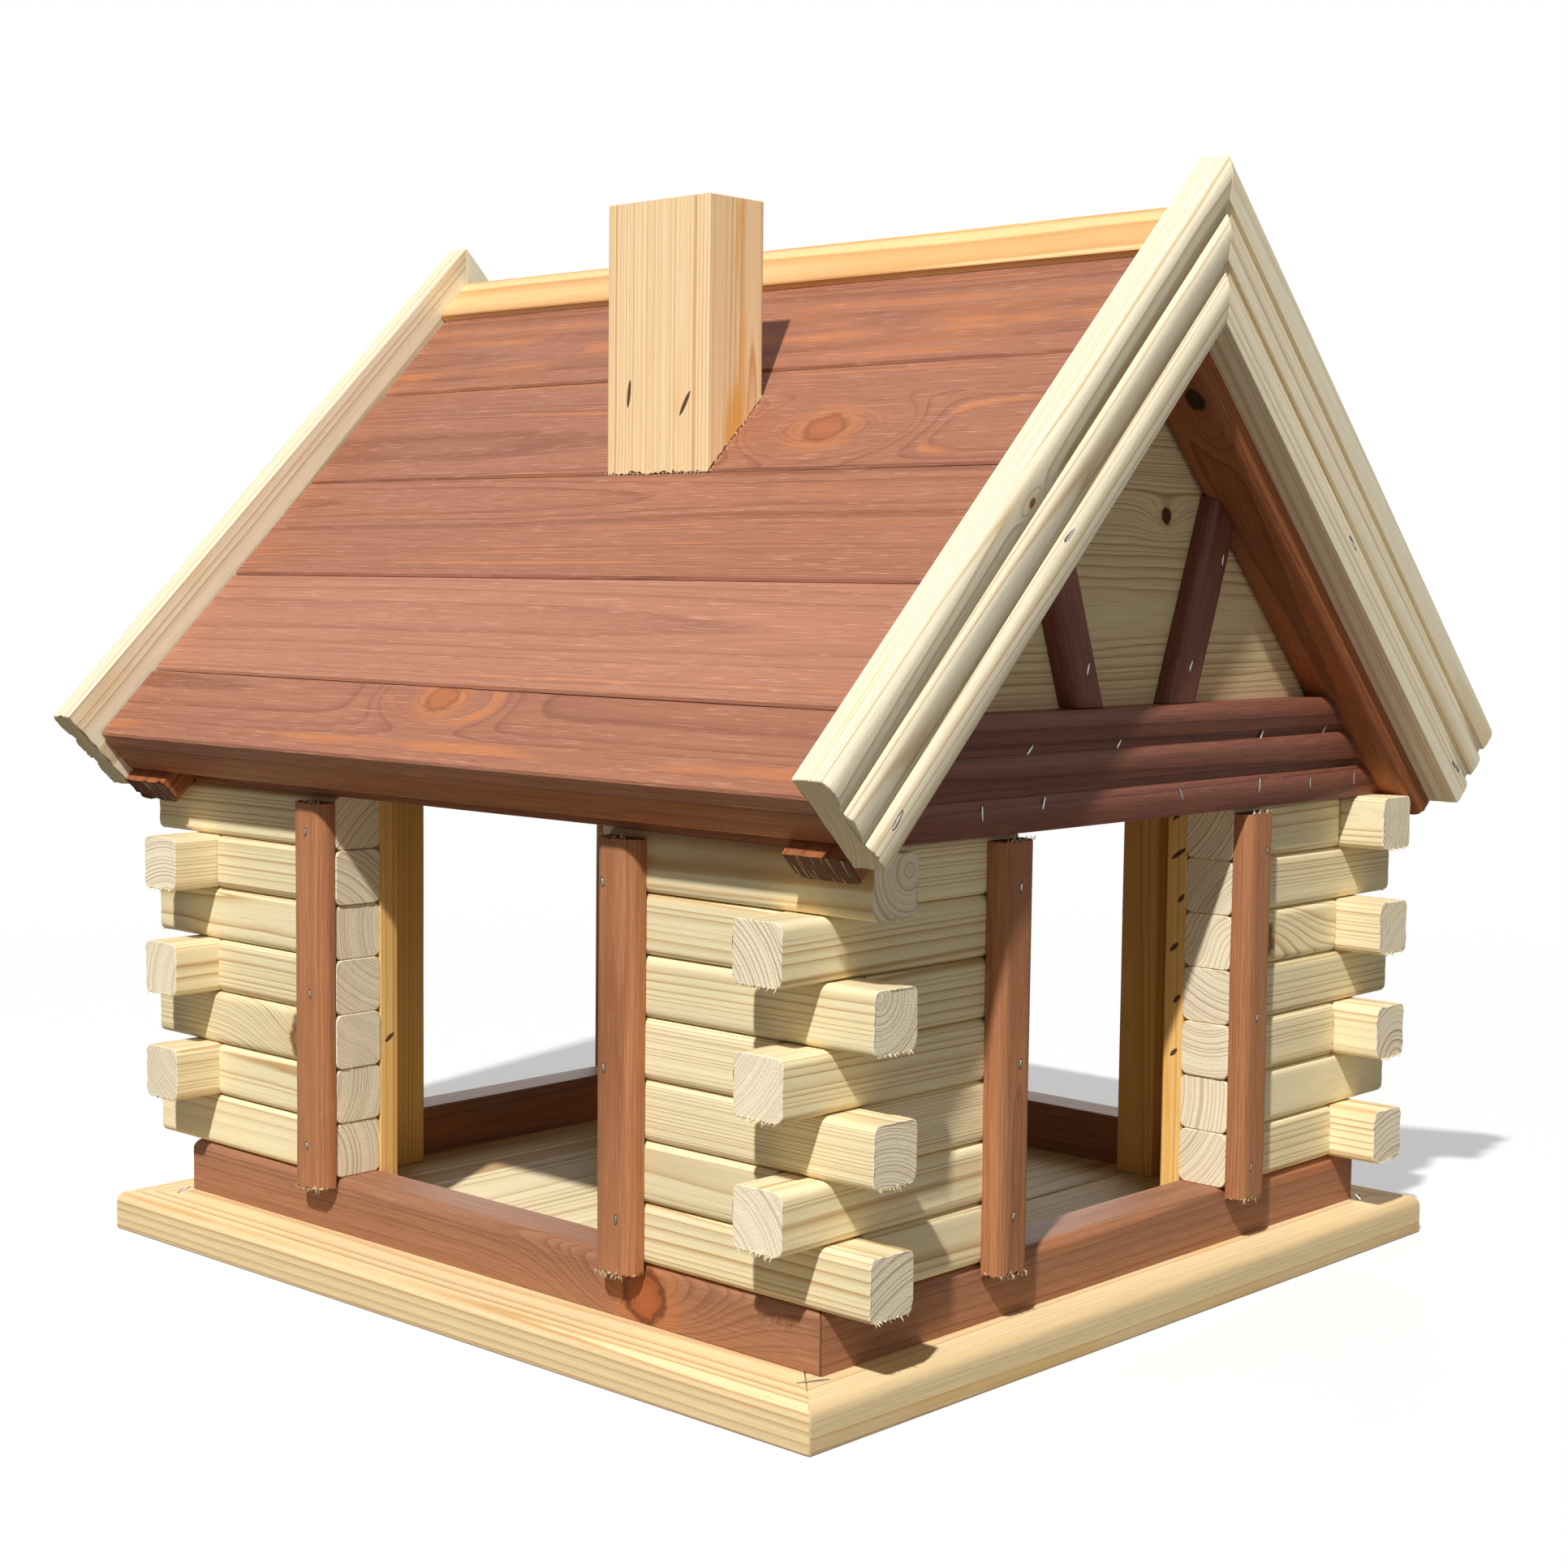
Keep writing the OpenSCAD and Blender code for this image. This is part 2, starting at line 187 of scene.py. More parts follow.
class Graph:
    """A node tree, of a material or of geometry, and the one way in which nodes are added to it."""

    def __init__(self, tree: bpy.types.NodeTree) -> None:
        """Empties the tree and keeps it."""
        self.tree = tree
        tree.nodes.clear()

    def add(self, kind: str, settings: Settings | None = None,
            sockets: Sockets | None = None) -> bpy.types.Node:
        """Adds one node.

        Args:
            kind: The node's type.
            settings: What is set on the node itself, before its sockets.
            sockets: Values or wires by the socket's name or number.

        Returns:
            The node.
        """
        node = self.tree.nodes.new(kind)
        for name, value in (settings or {}).items():
            if name == "stops":
                self._set_stops(node.color_ramp, value)
            else:
                setattr(node, name, value)
        for key, value in (sockets or {}).items():
            self.feed(node.inputs[key], value)
        return node

    def out(self, kind: str, settings: Settings | None = None, sockets: Sockets | None = None,
            output: int | str = 0) -> Wire:
        """Adds one node and returns one of its outputs as a wire."""
        return Wire(self, self.add(kind, settings, sockets).outputs[output])

    def feed(self, socket: bpy.types.NodeSocket, value: object) -> None:
        """Links a wire to a socket, or sets the socket to a value."""
        if isinstance(value, Wire):
            self.tree.links.new(value.socket, socket)
        elif socket.type == "RGBA" and len(value) == 3:
            socket.default_value = (*value, 1)
        else:
            socket.default_value = value

    @staticmethod
    def _set_stops(ramp: bpy.types.ColorRamp, stops: Sequence[Point]) -> None:
        """Gives a ramp its stops."""
        while len(ramp.elements) < len(stops):
            ramp.elements.new(1)
        for element, (position, value) in zip(ramp.elements, stops):
            element.position = position
            element.color = (value, value, value, 1)

    def noise(self, vector: Wire, stretch: Sequence[float], detail: float = 2.0) -> Wire:
        """Noise from 0 to 1 whose features have a length of 1 / stretch along each direction."""
        sockets = {"Vector": vector * stretch, "Scale": 1.0, "Detail": detail}
        return self.out("ShaderNodeTexNoise", {}, sockets)

    def mix(self, share: Operand, first: Operand, second: Operand) -> Wire:
        """Mixes two colours."""
        return self.out("ShaderNodeMix", {"data_type": "RGBA"}, {0: share, 6: first, 7: second}, 2)

    def shaders(self, share: Operand, first: bpy.types.Node, second: bpy.types.Node) -> bpy.types.Node:
        """Mixes the surfaces of two shader nodes."""
        sockets = {0: share, 1: Wire(self, first.outputs[0]), 2: Wire(self, second.outputs[0])}
        return self.add("ShaderNodeMixShader", {}, sockets)

    def finish(self, surface: bpy.types.Node, output: str = "ShaderNodeOutputMaterial") -> None:
        """Ends a material or a world with a shader node."""
        self.add(output, {}, {"Surface": Wire(self, surface.outputs[0])})

    def attribute(self, name: str, output: str = "Fac") -> Wire:
        """Reads a named attribute of the mesh."""
        return self.out("ShaderNodeAttribute", {"attribute_name": name}, {}, output)

    def split(self, vector: Wire) -> tuple[Wire, Wire, Wire]:
        """Separates a vector into its three parts."""
        node = self.add("ShaderNodeSeparateXYZ", {}, {0: vector})
        return tuple(Wire(self, output) for output in node.outputs)


def shade(colour: Colour, share: float) -> Colour:
    """A darker shade of a colour."""
    return tuple(value * share for value in colour)


def new_material(label: str) -> tuple[bpy.types.Material, Graph]:
    """Makes an empty material and its graph."""
    made = bpy.data.materials.new(label)
    made.use_nodes = True
    return made, Graph(made.node_tree)


@dataclass(frozen=True)
class Grain:
    """What the wood shader knows at a place of a board."""

    place: Wire
    board: Wire
    end: Wire
    rings: Wire
    late: Wire
    fibre: Wire
    cloud: Wire
    saw: Wire
    pits: Wire


@dataclass(frozen=True)
class KnotMarks:
    """What a knot does: how far the rings bend round it, and the shares of its parts."""

    bulge: Wire
    inside: Wire
    rim: Wire
    halo: Wire
    heart: Wire


@dataclass(frozen=True)
class WoodFinish:
    """How one kind of pine looks: its colours, its growth rings and its surface."""

    label: str
    slot: str
    early: Colour
    late: Colour
    sawn: Colour
    knot: Colour
    streak: Colour
    ring: float = 2.1
    contrast: float = 0.7
    fibre: float = 0.2
    spread: float = 0.10
    streaks: float = 0.0
    streak_pace: float = 0.16
    flecks: float = 0.0
    # Colour of the pale flecks, and also of the painted sheen where a finish has one
    fleck_and_sheen: Colour = srgb(250, 238, 204)
    chips: float = 0.0
    raw: Colour = srgb(238, 214, 166)
    dull: float = 0.62
    relief: float = 0.10
    wave: float = 1.0
    heartwood: float = 1.0
    scored: float = 0.0
    # Share of the painted sheen: a pale colour that stands in for reflected light on boards of tone above 0.8
    painted_sheen: float = 0.0

    def material(self) -> bpy.types.Material:
        """Builds the shader.

        Returns:
            The material, which reads the grain that each board carries.
        """
        made, graph = new_material(self.label)
        place = graph.attribute("grain", "Vector") + graph.attribute("pith", "Vector")
        knot = self._knot(graph, place)
        grain = self._grain(graph, place, knot)
        colour = graph.mix(grain.end, self._side(graph, grain), self._cut(graph, grain))
        colour = self._knotted(graph, colour, knot)
        if self.chips:
            colour = self._chipped(graph, colour, grain)
        uneven = (grain.board - 0.5) * self.spread + (grain.cloud - 0.5) * (self.spread * 1.3)
        colour = colour * (1.0 + uneven)

        height = grain.fibre * 0.6 + grain.late * 0.5 + graph.noise(place, (0.2, 0.5, 0.5)) * 0.5
        height = height + (grain.saw * 1.8 + grain.pits * 1.4 - grain.late * 1.4) * grain.end
        relief = {"Strength": 1.0, "Distance": self.relief * MM, "Height": height}
        graph.finish(graph.add("ShaderNodeBsdfPrincipled", {}, {
            "Base Color": colour,
            "Roughness": self.dull + grain.fibre * 0.12 + grain.end * 0.15,
            "Normal": graph.out("ShaderNodeBump", {}, relief),
            "Specular IOR Level": 0.22,
        }))
        return made

    def _grain(self, graph: Graph, place: Wire, knot: KnotMarks) -> Grain:
        """Works out the growth rings and the noises that the colours share.

        Args:
            graph: The material's graph.
            place: The place in the board, measured from the pith.
            knot: The board's knot, which bends the rings.

        Returns:
            The grain.
        """
        board = graph.attribute("board")
        along, across, out = graph.split(place)
        radius = (across * across + out * out).maths("SQRT")
        warp = (graph.noise(place, (0.003, 0.015, 0.015), 1.0) - 0.5) * 3.0
        waver = (graph.noise(place, (0.012, 0.08, 0.08)) - 0.5) * (0.7 * self.wave)
        pace = (board * 7.3).maths("FRACT") * 0.9 + 0.6
        rings = (radius + warp + waver + knot.bulge + along * 0.004) / (pace * self.ring)
        rings = rings + self._uneven(graph, rings * 0.37 + board * 40.0) * 2.4
        turn = rings.maths("FRACT")
        late = turn.curve((0.0, 0.42), (0.05, 0.0), (0.50, 0.06), (0.80, 0.48), (0.94, 1.0), (1.0, 0.6))
        late = late * (self._uneven(graph, rings * 0.21 + board * 17.0).ramp(0.20, 0.55) * 0.85 + 0.15)
        return Grain(
            place=place,
            board=board,
            end=graph.attribute("end"),
            rings=rings,
            late=late,
            fibre=graph.noise(place, (0.03, 2.4, 2.4), 4.0),
            cloud=graph.noise(place, (0.006, 0.05, 0.05)),
            saw=graph.noise(place, (0.4, 1.1, 3.0), 4.0),
            pits=graph.noise(place, (0.5, 2.2, 2.2), 3.0))

    def _side(self, graph: Graph, grain: Grain) -> Wire:
        """The colour along the grain.

        Args:
            graph: The material's graph.
            grain: The board's grain.

        Returns:
            The colour, with its pores, resin streaks, flecks and a painted sheen, a pale reflection laid on
            the palest boards.
        """
        place, late, fibre = grain.place, grain.late, grain.fibre
        pores = graph.noise(place, (0.09, 1.9, 1.9), 2.0).ramp(0.58, 0.70)
        side = graph.mix(late * self.contrast, self.early, self.late)
        side = graph.mix(fibre.ramp(0.38, 0.70) * self.fibre, side, self.late)
        side = graph.mix(pores * (1.0 - late) * (self.fibre * 0.9), side, self.late)
        if self.streaks:
            band = self._uneven(graph, grain.rings * self.streak_pace + grain.board * 71.0).ramp(0.58, 0.66)
            patch = graph.noise(place, (0.012, 0.07, 0.07)).ramp(0.47, 0.62)
            side = graph.mix(band * patch * self.streaks, side, self.streak)
        if self.flecks:
            glint = graph.noise(place, (0.07, 1.5, 1.5), 3.0).ramp(0.58, 0.70)
            side = graph.mix(glint * self.flecks, side, self.fleck_and_sheen)
        # Painted sheen: boards of tone above 0.8 are mixed towards a pale pinkish colour that stands in for
        # reflected light
        if self.painted_sheen:
            sheen_share = grain.board.ramp(0.80, 0.95) * (grain.cloud * 0.6 + 0.7) * self.painted_sheen
            side = graph.mix(sheen_share, side, self.fleck_and_sheen)
        return side

    def _cut(self, graph: Graph, grain: Grain) -> Wire:
        """The colour of a sawn end.

        Args:
            graph: The material's graph.
            grain: The board's grain.

        Returns:
            The colour, with the rings cut across and the marks of the saw.
        """
        strong = (grain.board * 5.7).maths("FRACT") * 0.6 + 0.4
        cut = graph.mix(grain.late * strong * self.contrast, self.sawn, shade(self.late, 0.74))
        marks = grain.saw.ramp(0.40, 0.75) * 0.10 + grain.pits.ramp(0.54, 0.68) * 0.15
        cut = graph.mix(marks, cut, self.late)
        if self.scored:
            lines = graph.noise(grain.place, (0.3, 1.3, 0.09), 2.0).ramp(0.60, 0.66)
            cut = graph.mix(lines * self.scored, cut, self.raw)
        return cut

    def _knotted(self, graph: Graph, colour: Wire, knot: KnotMarks) -> Wire:
        """Paints the knot, its dark rim and the warm wood round it over a colour."""
        colour = graph.mix(knot.halo * 0.45, colour, self.streak)
        middle = graph.mix(knot.heart, self.knot, shade(self.knot, 0.45))
        colour = graph.mix(knot.inside * self.heartwood, colour, middle)
        return graph.mix(knot.rim * (0.7 * self.heartwood), colour, shade(self.knot, 0.2))

    def _chipped(self, graph: Graph, colour: Wire, grain: Grain) -> Wire:
        """Lets bare wood show through a colour where the fibres are torn."""
        torn = graph.noise(grain.place, (0.05, 0.55, 0.55), 3.0)
        depth = (torn - 0.45) * (self.chips * 4.0) - graph.attribute("reach")
        return graph.mix(depth.ramp(0.0, 0.4) * (1.0 - grain.end * 0.3), colour, self.raw)

    @staticmethod
    def _uneven(graph: Graph, value: Wire) -> Wire:
        """Slow noise along one number, such as the count of rings."""
        return graph.out("ShaderNodeTexNoise", {"noise_dimensions": "1D"}, {"W": value, "Scale": 1.0})

    @staticmethod
    def _knot(graph: Graph, place: Wire) -> KnotMarks:
        """Works out what a board's knot does.

        Args:
            graph: The material's graph.
            place: The place in the board, measured from the pith.

        Returns:
            The bend of the rings, and the shares of the knot, its rim, the wood round it and its heart.
        """
        vector = "ShaderNodeVectorMath"
        centre = graph.attribute("knot", "Vector")
        size = graph.attribute("knot_size")
        girth = graph.out("ShaderNodeMath", {"operation": "MAXIMUM"}, {0: size, 1: 0.01})
        branch = graph.out(vector, {"operation": "NORMALIZE"}, {0: centre * (0.0, 1.0, 1.0)})
        offset = place - centre
        rise = graph.out(vector, {"operation": "DOT_PRODUCT"}, {0: offset, 1: branch}, "Value")
        flat = offset - graph.out(vector, {"operation": "SCALE"}, {0: branch, "Scale": rise})
        near = (flat * (0.75, 1.0, 1.0)).length()
        wide = (flat * (0.36, 1.0, 1.0)).length()
        near = near + (graph.noise(place, (0.22, 0.25, 0.25), 3.0) - 0.5) * size * 0.8
        share = near / girth
        spread = wide / (girth * 2.0)
        marks = (near * 0.9).maths("FRACT").curve((0.0, 0.05), (0.55, 0.1), (0.9, 0.55), (1.0, 0.1))
        return KnotMarks(
            bulge=(spread * spread * -1.0).maths("EXPONENT") * size * 2.2,
            inside=share.ramp(1.08, 0.88),
            rim=share.ramp(0.74, 0.98) * share.ramp(1.30, 1.02),
            halo=share.ramp(2.6, 1.0),
            heart=marks * 0.7 + share.ramp(0.2, 1.0) * 0.35)


@dataclass(frozen=True)
class FibreFinish:
    """Torn fibres, and staple slots whose dark colour is partly a staple's burn and partly painted shade of
    the sunk recess: one plain colour with a fine grain.
    """

    label: str
    slot: str
    tint: Colour

    def material(self) -> bpy.types.Material:
        """Builds the shader.

        Returns:
            The material.
        """
        made, graph = new_material(self.label)
        place = graph.out("ShaderNodeTexCoord", {}, {}, "Object")
        grain = graph.noise(place, (700.0, 700.0, 700.0), 3.0)
        graph.finish(graph.add("ShaderNodeBsdfPrincipled", {}, {
            "Base Color": graph.mix(grain, self.tint, shade(self.tint, 0.75)),
            "Roughness": grain * 0.2 + 0.6,
        }))
        return made


@dataclass(frozen=True)
class WireFinish:
    """Drawn wire for staples."""

    label: str
    slot: str
    tint: Colour
    dull: float = 0.34

    def material(self) -> bpy.types.Material:
        """Builds the shader: metal with a fine drawn grain.

        Returns:
            The material.
        """
        made, graph = new_material(self.label)
        place = graph.out("ShaderNodeTexCoord", {}, {}, "Object")
        drawn = graph.noise(place, (900.0, 900.0, 3500.0), 3.0)
        graph.finish(graph.add("ShaderNodeBsdfPrincipled", {}, {
            "Base Color": graph.mix(drawn, self.tint, shade(self.tint, 0.7)),
            "Roughness": drawn * 0.2 + self.dull,
            "Metallic": 1.0,
        }))
        return made


class Finish(Enum):
    """The finishes of the feeder."""

    PALE_PINE = WoodFinish(
        "pale planed pine", "pine",
        early=srgb(250, 236, 192), late=srgb(192, 148, 88), sawn=srgb(255, 242, 210),
        knot=srgb(190, 128, 74), streak=srgb(242, 208, 146),
        ring=1.8, contrast=0.88, fibre=0.14, spread=0.12, flecks=0.15, streaks=0.35)
    BASE_PINE = WoodFinish(
        "warm pine boards", "pine",
        early=srgb(250, 226, 176), late=srgb(198, 144, 78), sawn=srgb(228, 200, 150),
        knot=srgb(196, 124, 66), streak=srgb(238, 190, 112),
        ring=1.7, contrast=0.80, fibre=0.18, spread=0.08, streaks=0.6, flecks=0.12)
    WARM_PINE = WoodFinish(
        "resin-rich pine", "pine",
        early=srgb(254, 226, 178), late=srgb(210, 152, 88), sawn=srgb(226, 192, 138),
        knot=srgb(196, 124, 66), streak=srgb(238, 176, 84),
        ring=2.3, contrast=0.80, fibre=0.16, spread=0.08, streaks=0.9, flecks=0.10)
    RIDGE_PINE = WoodFinish(
        "honey-streaked pine", "pine",
        early=srgb(246, 212, 154), late=srgb(200, 136, 70), sawn=srgb(220, 184, 130),
        knot=srgb(190, 118, 60), streak=srgb(226, 152, 64),
        ring=2.3, contrast=0.85, fibre=0.20, spread=0.08, streaks=0.95, streak_pace=0.5, flecks=0.10)
    JAMB_PINE = WoodFinish(
        "honey pine", "pine",
        early=srgb(252, 206, 126), late=srgb(206, 138, 66), sawn=srgb(232, 196, 136),
        knot=srgb(180, 104, 44), streak=srgb(240, 170, 74),
        ring=2.0, contrast=0.75, fibre=0.16, spread=0.08, streaks=0.6)
    PANEL_PINE = WoodFinish(
        "wavy pine", "pine",
        early=srgb(240, 220, 172), late=srgb(178, 134, 84), sawn=srgb(226, 202, 158),
        knot=srgb(74, 44, 26), streak=srgb(206, 160, 102),
        ring=1.1, contrast=0.85, fibre=0.25, spread=0.10, wave=2.4)
    BARGE_PINE = WoodFinish(
        "bleached pine", "pine",
        early=srgb(254, 244, 214), late=srgb(200, 164, 112), sawn=srgb(236, 220, 180),
        knot=srgb(176, 104, 50), streak=srgb(236, 200, 140),
        ring=1.8, contrast=0.80, fibre=0.18, spread=0.08, streaks=0.4, streak_pace=0.3, flecks=0.10)
    STAINED_POST = WoodFinish(
        "stained posts", "stained_pine",
        early=srgb(190, 130, 89), late=srgb(128, 72, 42), sawn=srgb(134, 84, 56),
        knot=srgb(206, 112, 54), streak=srgb(206, 126, 66), fleck_and_sheen=srgb(220, 162, 122),
        ring=1.3, contrast=0.50, fibre=0.36, spread=0.12, streaks=0.35, flecks=0.30, chips=1.6, dull=0.46)
    STAINED_SILL = WoodFinish(
        "stained sill", "stained_pine",
        early=srgb(167, 118, 88), late=srgb(112, 66, 42), sawn=srgb(134, 84, 56),
        knot=srgb(172, 98, 56), streak=srgb(196, 120, 68), fleck_and_sheen=srgb(206, 152, 116),
        ring=1.4, contrast=0.55, fibre=0.34, spread=0.12, streaks=0.5, flecks=0.24, dull=0.46)
    # The roof boards carry a painted sheen, a pale pinkish reflection on the palest board
    STAINED_ROOF = WoodFinish(
        "stained roof boards", "stained_pine",
        early=srgb(170, 114, 88), late=srgb(108, 60, 42), sawn=srgb(150, 92, 68),
        knot=srgb(158, 84, 52), streak=srgb(202, 126, 74), fleck_and_sheen=srgb(216, 164, 138),
        ring=2.0, contrast=0.50, fibre=0.34, spread=0.12, streaks=0.6, streak_pace=0.8,
        heartwood=0.45, painted_sheen=0.13, flecks=0.40, dull=0.44)
    STAINED_DARK = WoodFinish(
        "dark stained trim", "stained_pine",
        early=srgb(172, 106, 64), late=srgb(92, 50, 30), sawn=srgb(104, 62, 40),
        knot=srgb(60, 34, 22), streak=srgb(150, 92, 60), fleck_and_sheen=srgb(200, 146, 110),
        ring=1.4, contrast=0.60, fibre=0.38, spread=0.12, flecks=0.26, dull=0.42, scored=0.6)
    STAINED_BEAM = WoodFinish(
        "purple-brown gable trim", "stained_pine",
        early=srgb(134, 82, 64), late=srgb(72, 38, 28), sawn=srgb(96, 56, 38),
        knot=srgb(60, 34, 22), streak=srgb(128, 74, 52), fleck_and_sheen=srgb(176, 124, 98),
        ring=1.4, contrast=0.65, fibre=0.40, spread=0.14, flecks=0.26, dull=0.40)
    STAPLE = WireFinish("galvanised wire", "staple_wire", srgb(206, 206, 202))
    # The staple slots are thin dark bars: painted shade of the sunk recesses, with the staples' burn
    SLOT_SHADE_AND_BURN = FibreFinish("staple slot", "stained_pine", srgb(96, 60, 34))
    TORN = FibreFinish("torn fibres", "pine", srgb(246, 228, 186))


@dataclass(frozen=True)
class Lay:
    """Where a board lies: its origin, and the directions along its grain, across it and out of it."""

    origin: Vector
    along: Vector
    across: Vector
    out: Vector

    def turned(self, sign_x: int, sign_y: int) -> "Lay":
        """The same lay mirrored into another corner of the house."""
        signs = Vector((sign_x, sign_y, 1))
        return Lay(*(part * signs for part in (self.origin, self.along, self.across, self.out)))

    @property
    def flipped(self) -> bool:
        """Whether the three directions form a left hand."""
        return self.along.dot(self.across.cross(self.out)) < 0

    def place(self, points: np.ndarray) -> np.ndarray:
        """Turns points of the board into points of the house."""
        return np.array(self.origin) + points @ np.array([self.along, self.across, self.out])


def lay(origin: Sequence[float], along: Sequence[float], across: Sequence[float],
        out: Sequence[float]) -> Lay:
    """A lay from plain numbers."""
    return Lay(Vector(origin), Vector(along), Vector(across), Vector(out))


@dataclass(frozen=True)
class Cut:
    """The plane that ends a board: its place along the grain, and how that shifts across and out."""

    at: float
    per_across: float = 0.0
    per_out: float = 0.0

    def along(self, points: np.ndarray) -> np.ndarray:
        """Where the cut meets the line along the grain through each point (across, out)."""
        return self.at + self.per_across * points[:, 0] + self.per_out * points[:, 1]


@dataclass(frozen=True)
class Knot:
    """A knot of one board: where it shows, and its radius."""

    along: float
    across: float
    out: float
    size: float


@dataclass
class Board:
    """One board in its own coordinates, with how far each point is from a sawn end."""

    points: np.ndarray
    faces: list[tuple[int, ...]]
    reach: np.ndarray


def arc(centre: Point, radius: float, start: float, facets: int = 5) -> list[Point]:
    """A quarter turn, counter-clockwise from an angle in degrees."""
    angles = [math.radians(start + 90 * i / facets) for i in range(facets + 1)]
    return [(centre[0] + radius * math.cos(a), centre[1] + radius * math.sin(a)) for a in angles]


def oblong(low: Point, high: Point, radii: Sequence[float]) -> list[Point]:
    """A rectangle with one radius for each corner, counter-clockwise from the low one.

    Args:
        low: The corner with the least across and out.
        high: The opposite corner.
        radii: The four radii.

    Returns:
        The outline, counter-clockwise.
    """
    corners = [low, (high[0], low[1]), high, (low[0], high[1])]
    inward = [(1, 1), (-1, 1), (-1, -1), (1, -1)]
    outline: list[Point] = []
    for i, (corner, step, radius) in enumerate(zip(corners, inward, radii)):
        centre = (corner[0] + step[0] * radius, corner[1] + step[1] * radius)
        outline += arc(centre, radius, 180 + 90 * i) if radius > 0 else [corner]
    return outline


def refine(outline: Sequence[Point], step: float) -> np.ndarray:
    """Adds points to an outline until none of its sides is longer than step."""
    refined: list[np.ndarray] = []
    for start, end in zip(outline, [*outline[1:], outline[0]]):
        first, last = np.array(start), np.array(end)
        parts = max(1, math.ceil(np.linalg.norm(last - first) / step))
        refined += [first + (last - first) * i / parts for i in range(parts)]
    return np.array(refined)


def bar(outline: Sequence[Point], start: Cut, end: Cut, rng: np.random.Generator, sway: float = 0.12,
        torn: Point = (0.12, 0.12), step: float = 3.0, notch: Point | None = None) -> Board:
    """Lofts a straight board between two cuts.

    Args:
        outline: Its section, counter-clockwise, as (across, out).
        start: The cut at the low end.
        end: The cut at the high end.
        rng: The board's own random numbers.
        sway: How far the board wanders from a straight line.
        torn: How ragged the fibres are at each end.
        step: The longest side of the section.
        notch: Where given, (along, out): past that place the board keeps only what lies below out.

    Returns:
        The board.
    """
    section = refine(outline, step)
    count = len(section)
    centre = (section.max(0) + section.min(0)) / 2
    half = (section.max(0) - section.min(0)) / 2
    length = abs(end.at - start.at)
    shares = [0.0, *np.linspace(0.0, 1.0, max(3, round(length / RING_GAP))), 1.0]
    phase = rng.uniform(0, 2 * math.pi, 4)
    ragged = [np.abs(rng.normal(0, amount, count)) for amount in torn]
    far = [CLEAN if amount < ROUGH else 0.0 for amount in torn]
    rows: list[np.ndarray] = []
    reaches: list[np.ndarray] = []
    for i, share in enumerate(shares):
        shape = section.copy()
        first, last = start.along(shape) + ragged[0], end.along(shape) - ragged[1]
        cap = i in (0, len(shares) - 1)
        if cap:
            shape = centre + (shape - centre) * (1 - END_EASE / half)
        inset = 0.0 if cap else END_EASE
        along = (first + inset) * (1 - share) + (last - inset) * share
        wander = sway * np.array([
            math.sin(phase[0] + 5.1 * share) + 0.5 * math.sin(phase[1] + 11.0 * share),
            math.sin(phase[2] + 4.3 * share) + 0.5 * math.sin(phase[3] + 12.5 * share)])
        rows.append(np.column_stack([along, shape + wander]))
        reaches.append(np.minimum(along - first + far[0], last - along + far[1]))
    if notch is not None:
        rows, reaches = _notched(rows, reaches, notch, end)
    faces: list[tuple[int, ...]] = []
    for i in range(len(rows) - 1):
        low, high = i * count, (i + 1) * count
        faces += [(low + j, low + (j + 1) % count, high + (j + 1) % count, high + j) for j in range(count)]
    faces.append(tuple(range(count))[::-1])
    faces.append(tuple(range((len(rows) - 1) * count, len(rows) * count)))
    return Board(np.vstack(rows), faces, np.concatenate(reaches))


def _notched(rows: list[np.ndarray], reaches: list[np.ndarray], notch: Point,
             end: Cut) -> tuple[list[np.ndarray], list[np.ndarray]]:
    """Cuts a rebate into the high end of a board.

    Args:
        rows: The board's rings of points.
        reaches: How far each point is from an end.
        notch: Where the rebate starts, and the height that stays.
        end: The cut at the high end.

    Returns:
        The new rings and the new distances.
    """
    start, keep = notch
    kept = [row for row in rows if row[:, 0].max() < start - 1]
    shoulder = kept[-1].copy()
    shoulder[:, 0] = start
    tail = [shoulder, shoulder, rows[-2], rows[-1]]
    low = [row.copy() for row in tail[1:]]
    for row in low:
        row[:, 2] = np.minimum(row[:, 2], keep)
    new = kept + [shoulder] + low
    return new, [np.minimum(row[:, 0] + row[:, 2], end.at - row[:, 0]) for row in new]


def prism(outline: Sequence[Point], depth: float, ease: float = 0.5) -> Board:
    """Makes a flat board of any outline, with its edges eased.

    Args:
        outline: Its outline as (along, out), either way round.
        depth: Its thickness across.
        ease: The width of the bevel on its edges.

    Returns:
        The board.
    """
    shape = bmesh.new()
    low = [shape.verts.new((s, 0, o)) for s, o in outline]
    high = [shape.verts.new((s, depth, o)) for s, o in outline]
    count = len(outline)
    shape.faces.new(low)
    shape.faces.new(high[::-1])
    for i in range(count):
        j = (i + 1) % count
        shape.faces.new((low[i], high[i], high[j], low[j]))
    bmesh.ops.recalc_face_normals(shape, faces=shape.faces)
    bmesh.ops.bevel(
        shape, geom=shape.edges[:], offset=ease, segments=2, profile=0.6, affect="EDGES", clamp_overlap=True)
    shape.verts.index_update()
    points = np.array([vert.co[:] for vert in shape.verts])
    faces = [tuple(vert.index for vert in face.verts) for face in shape.faces]
    shape.free()
    ends = [s for s, _ in outline]
    reach = np.minimum(points[:, 0] - min(ends), max(ends) - points[:, 0])
    return Board(points, faces, reach)


def write_attribute(mesh: bpy.types.Mesh, name: str, values: np.ndarray, domain: str = "POINT") -> None:
    """Writes a named attribute of a mesh.

    Args:
        mesh: The mesh.
        name: The attribute's name.
        values: A number, or a row of three, for each element.
        domain: What the values belong to.
    """
    kind, key = ("FLOAT_VECTOR", "vector") if values.ndim == 2 else ("FLOAT", "value")
    mesh.attributes.new(name, kind, domain).data.foreach_set(key, values.ravel())


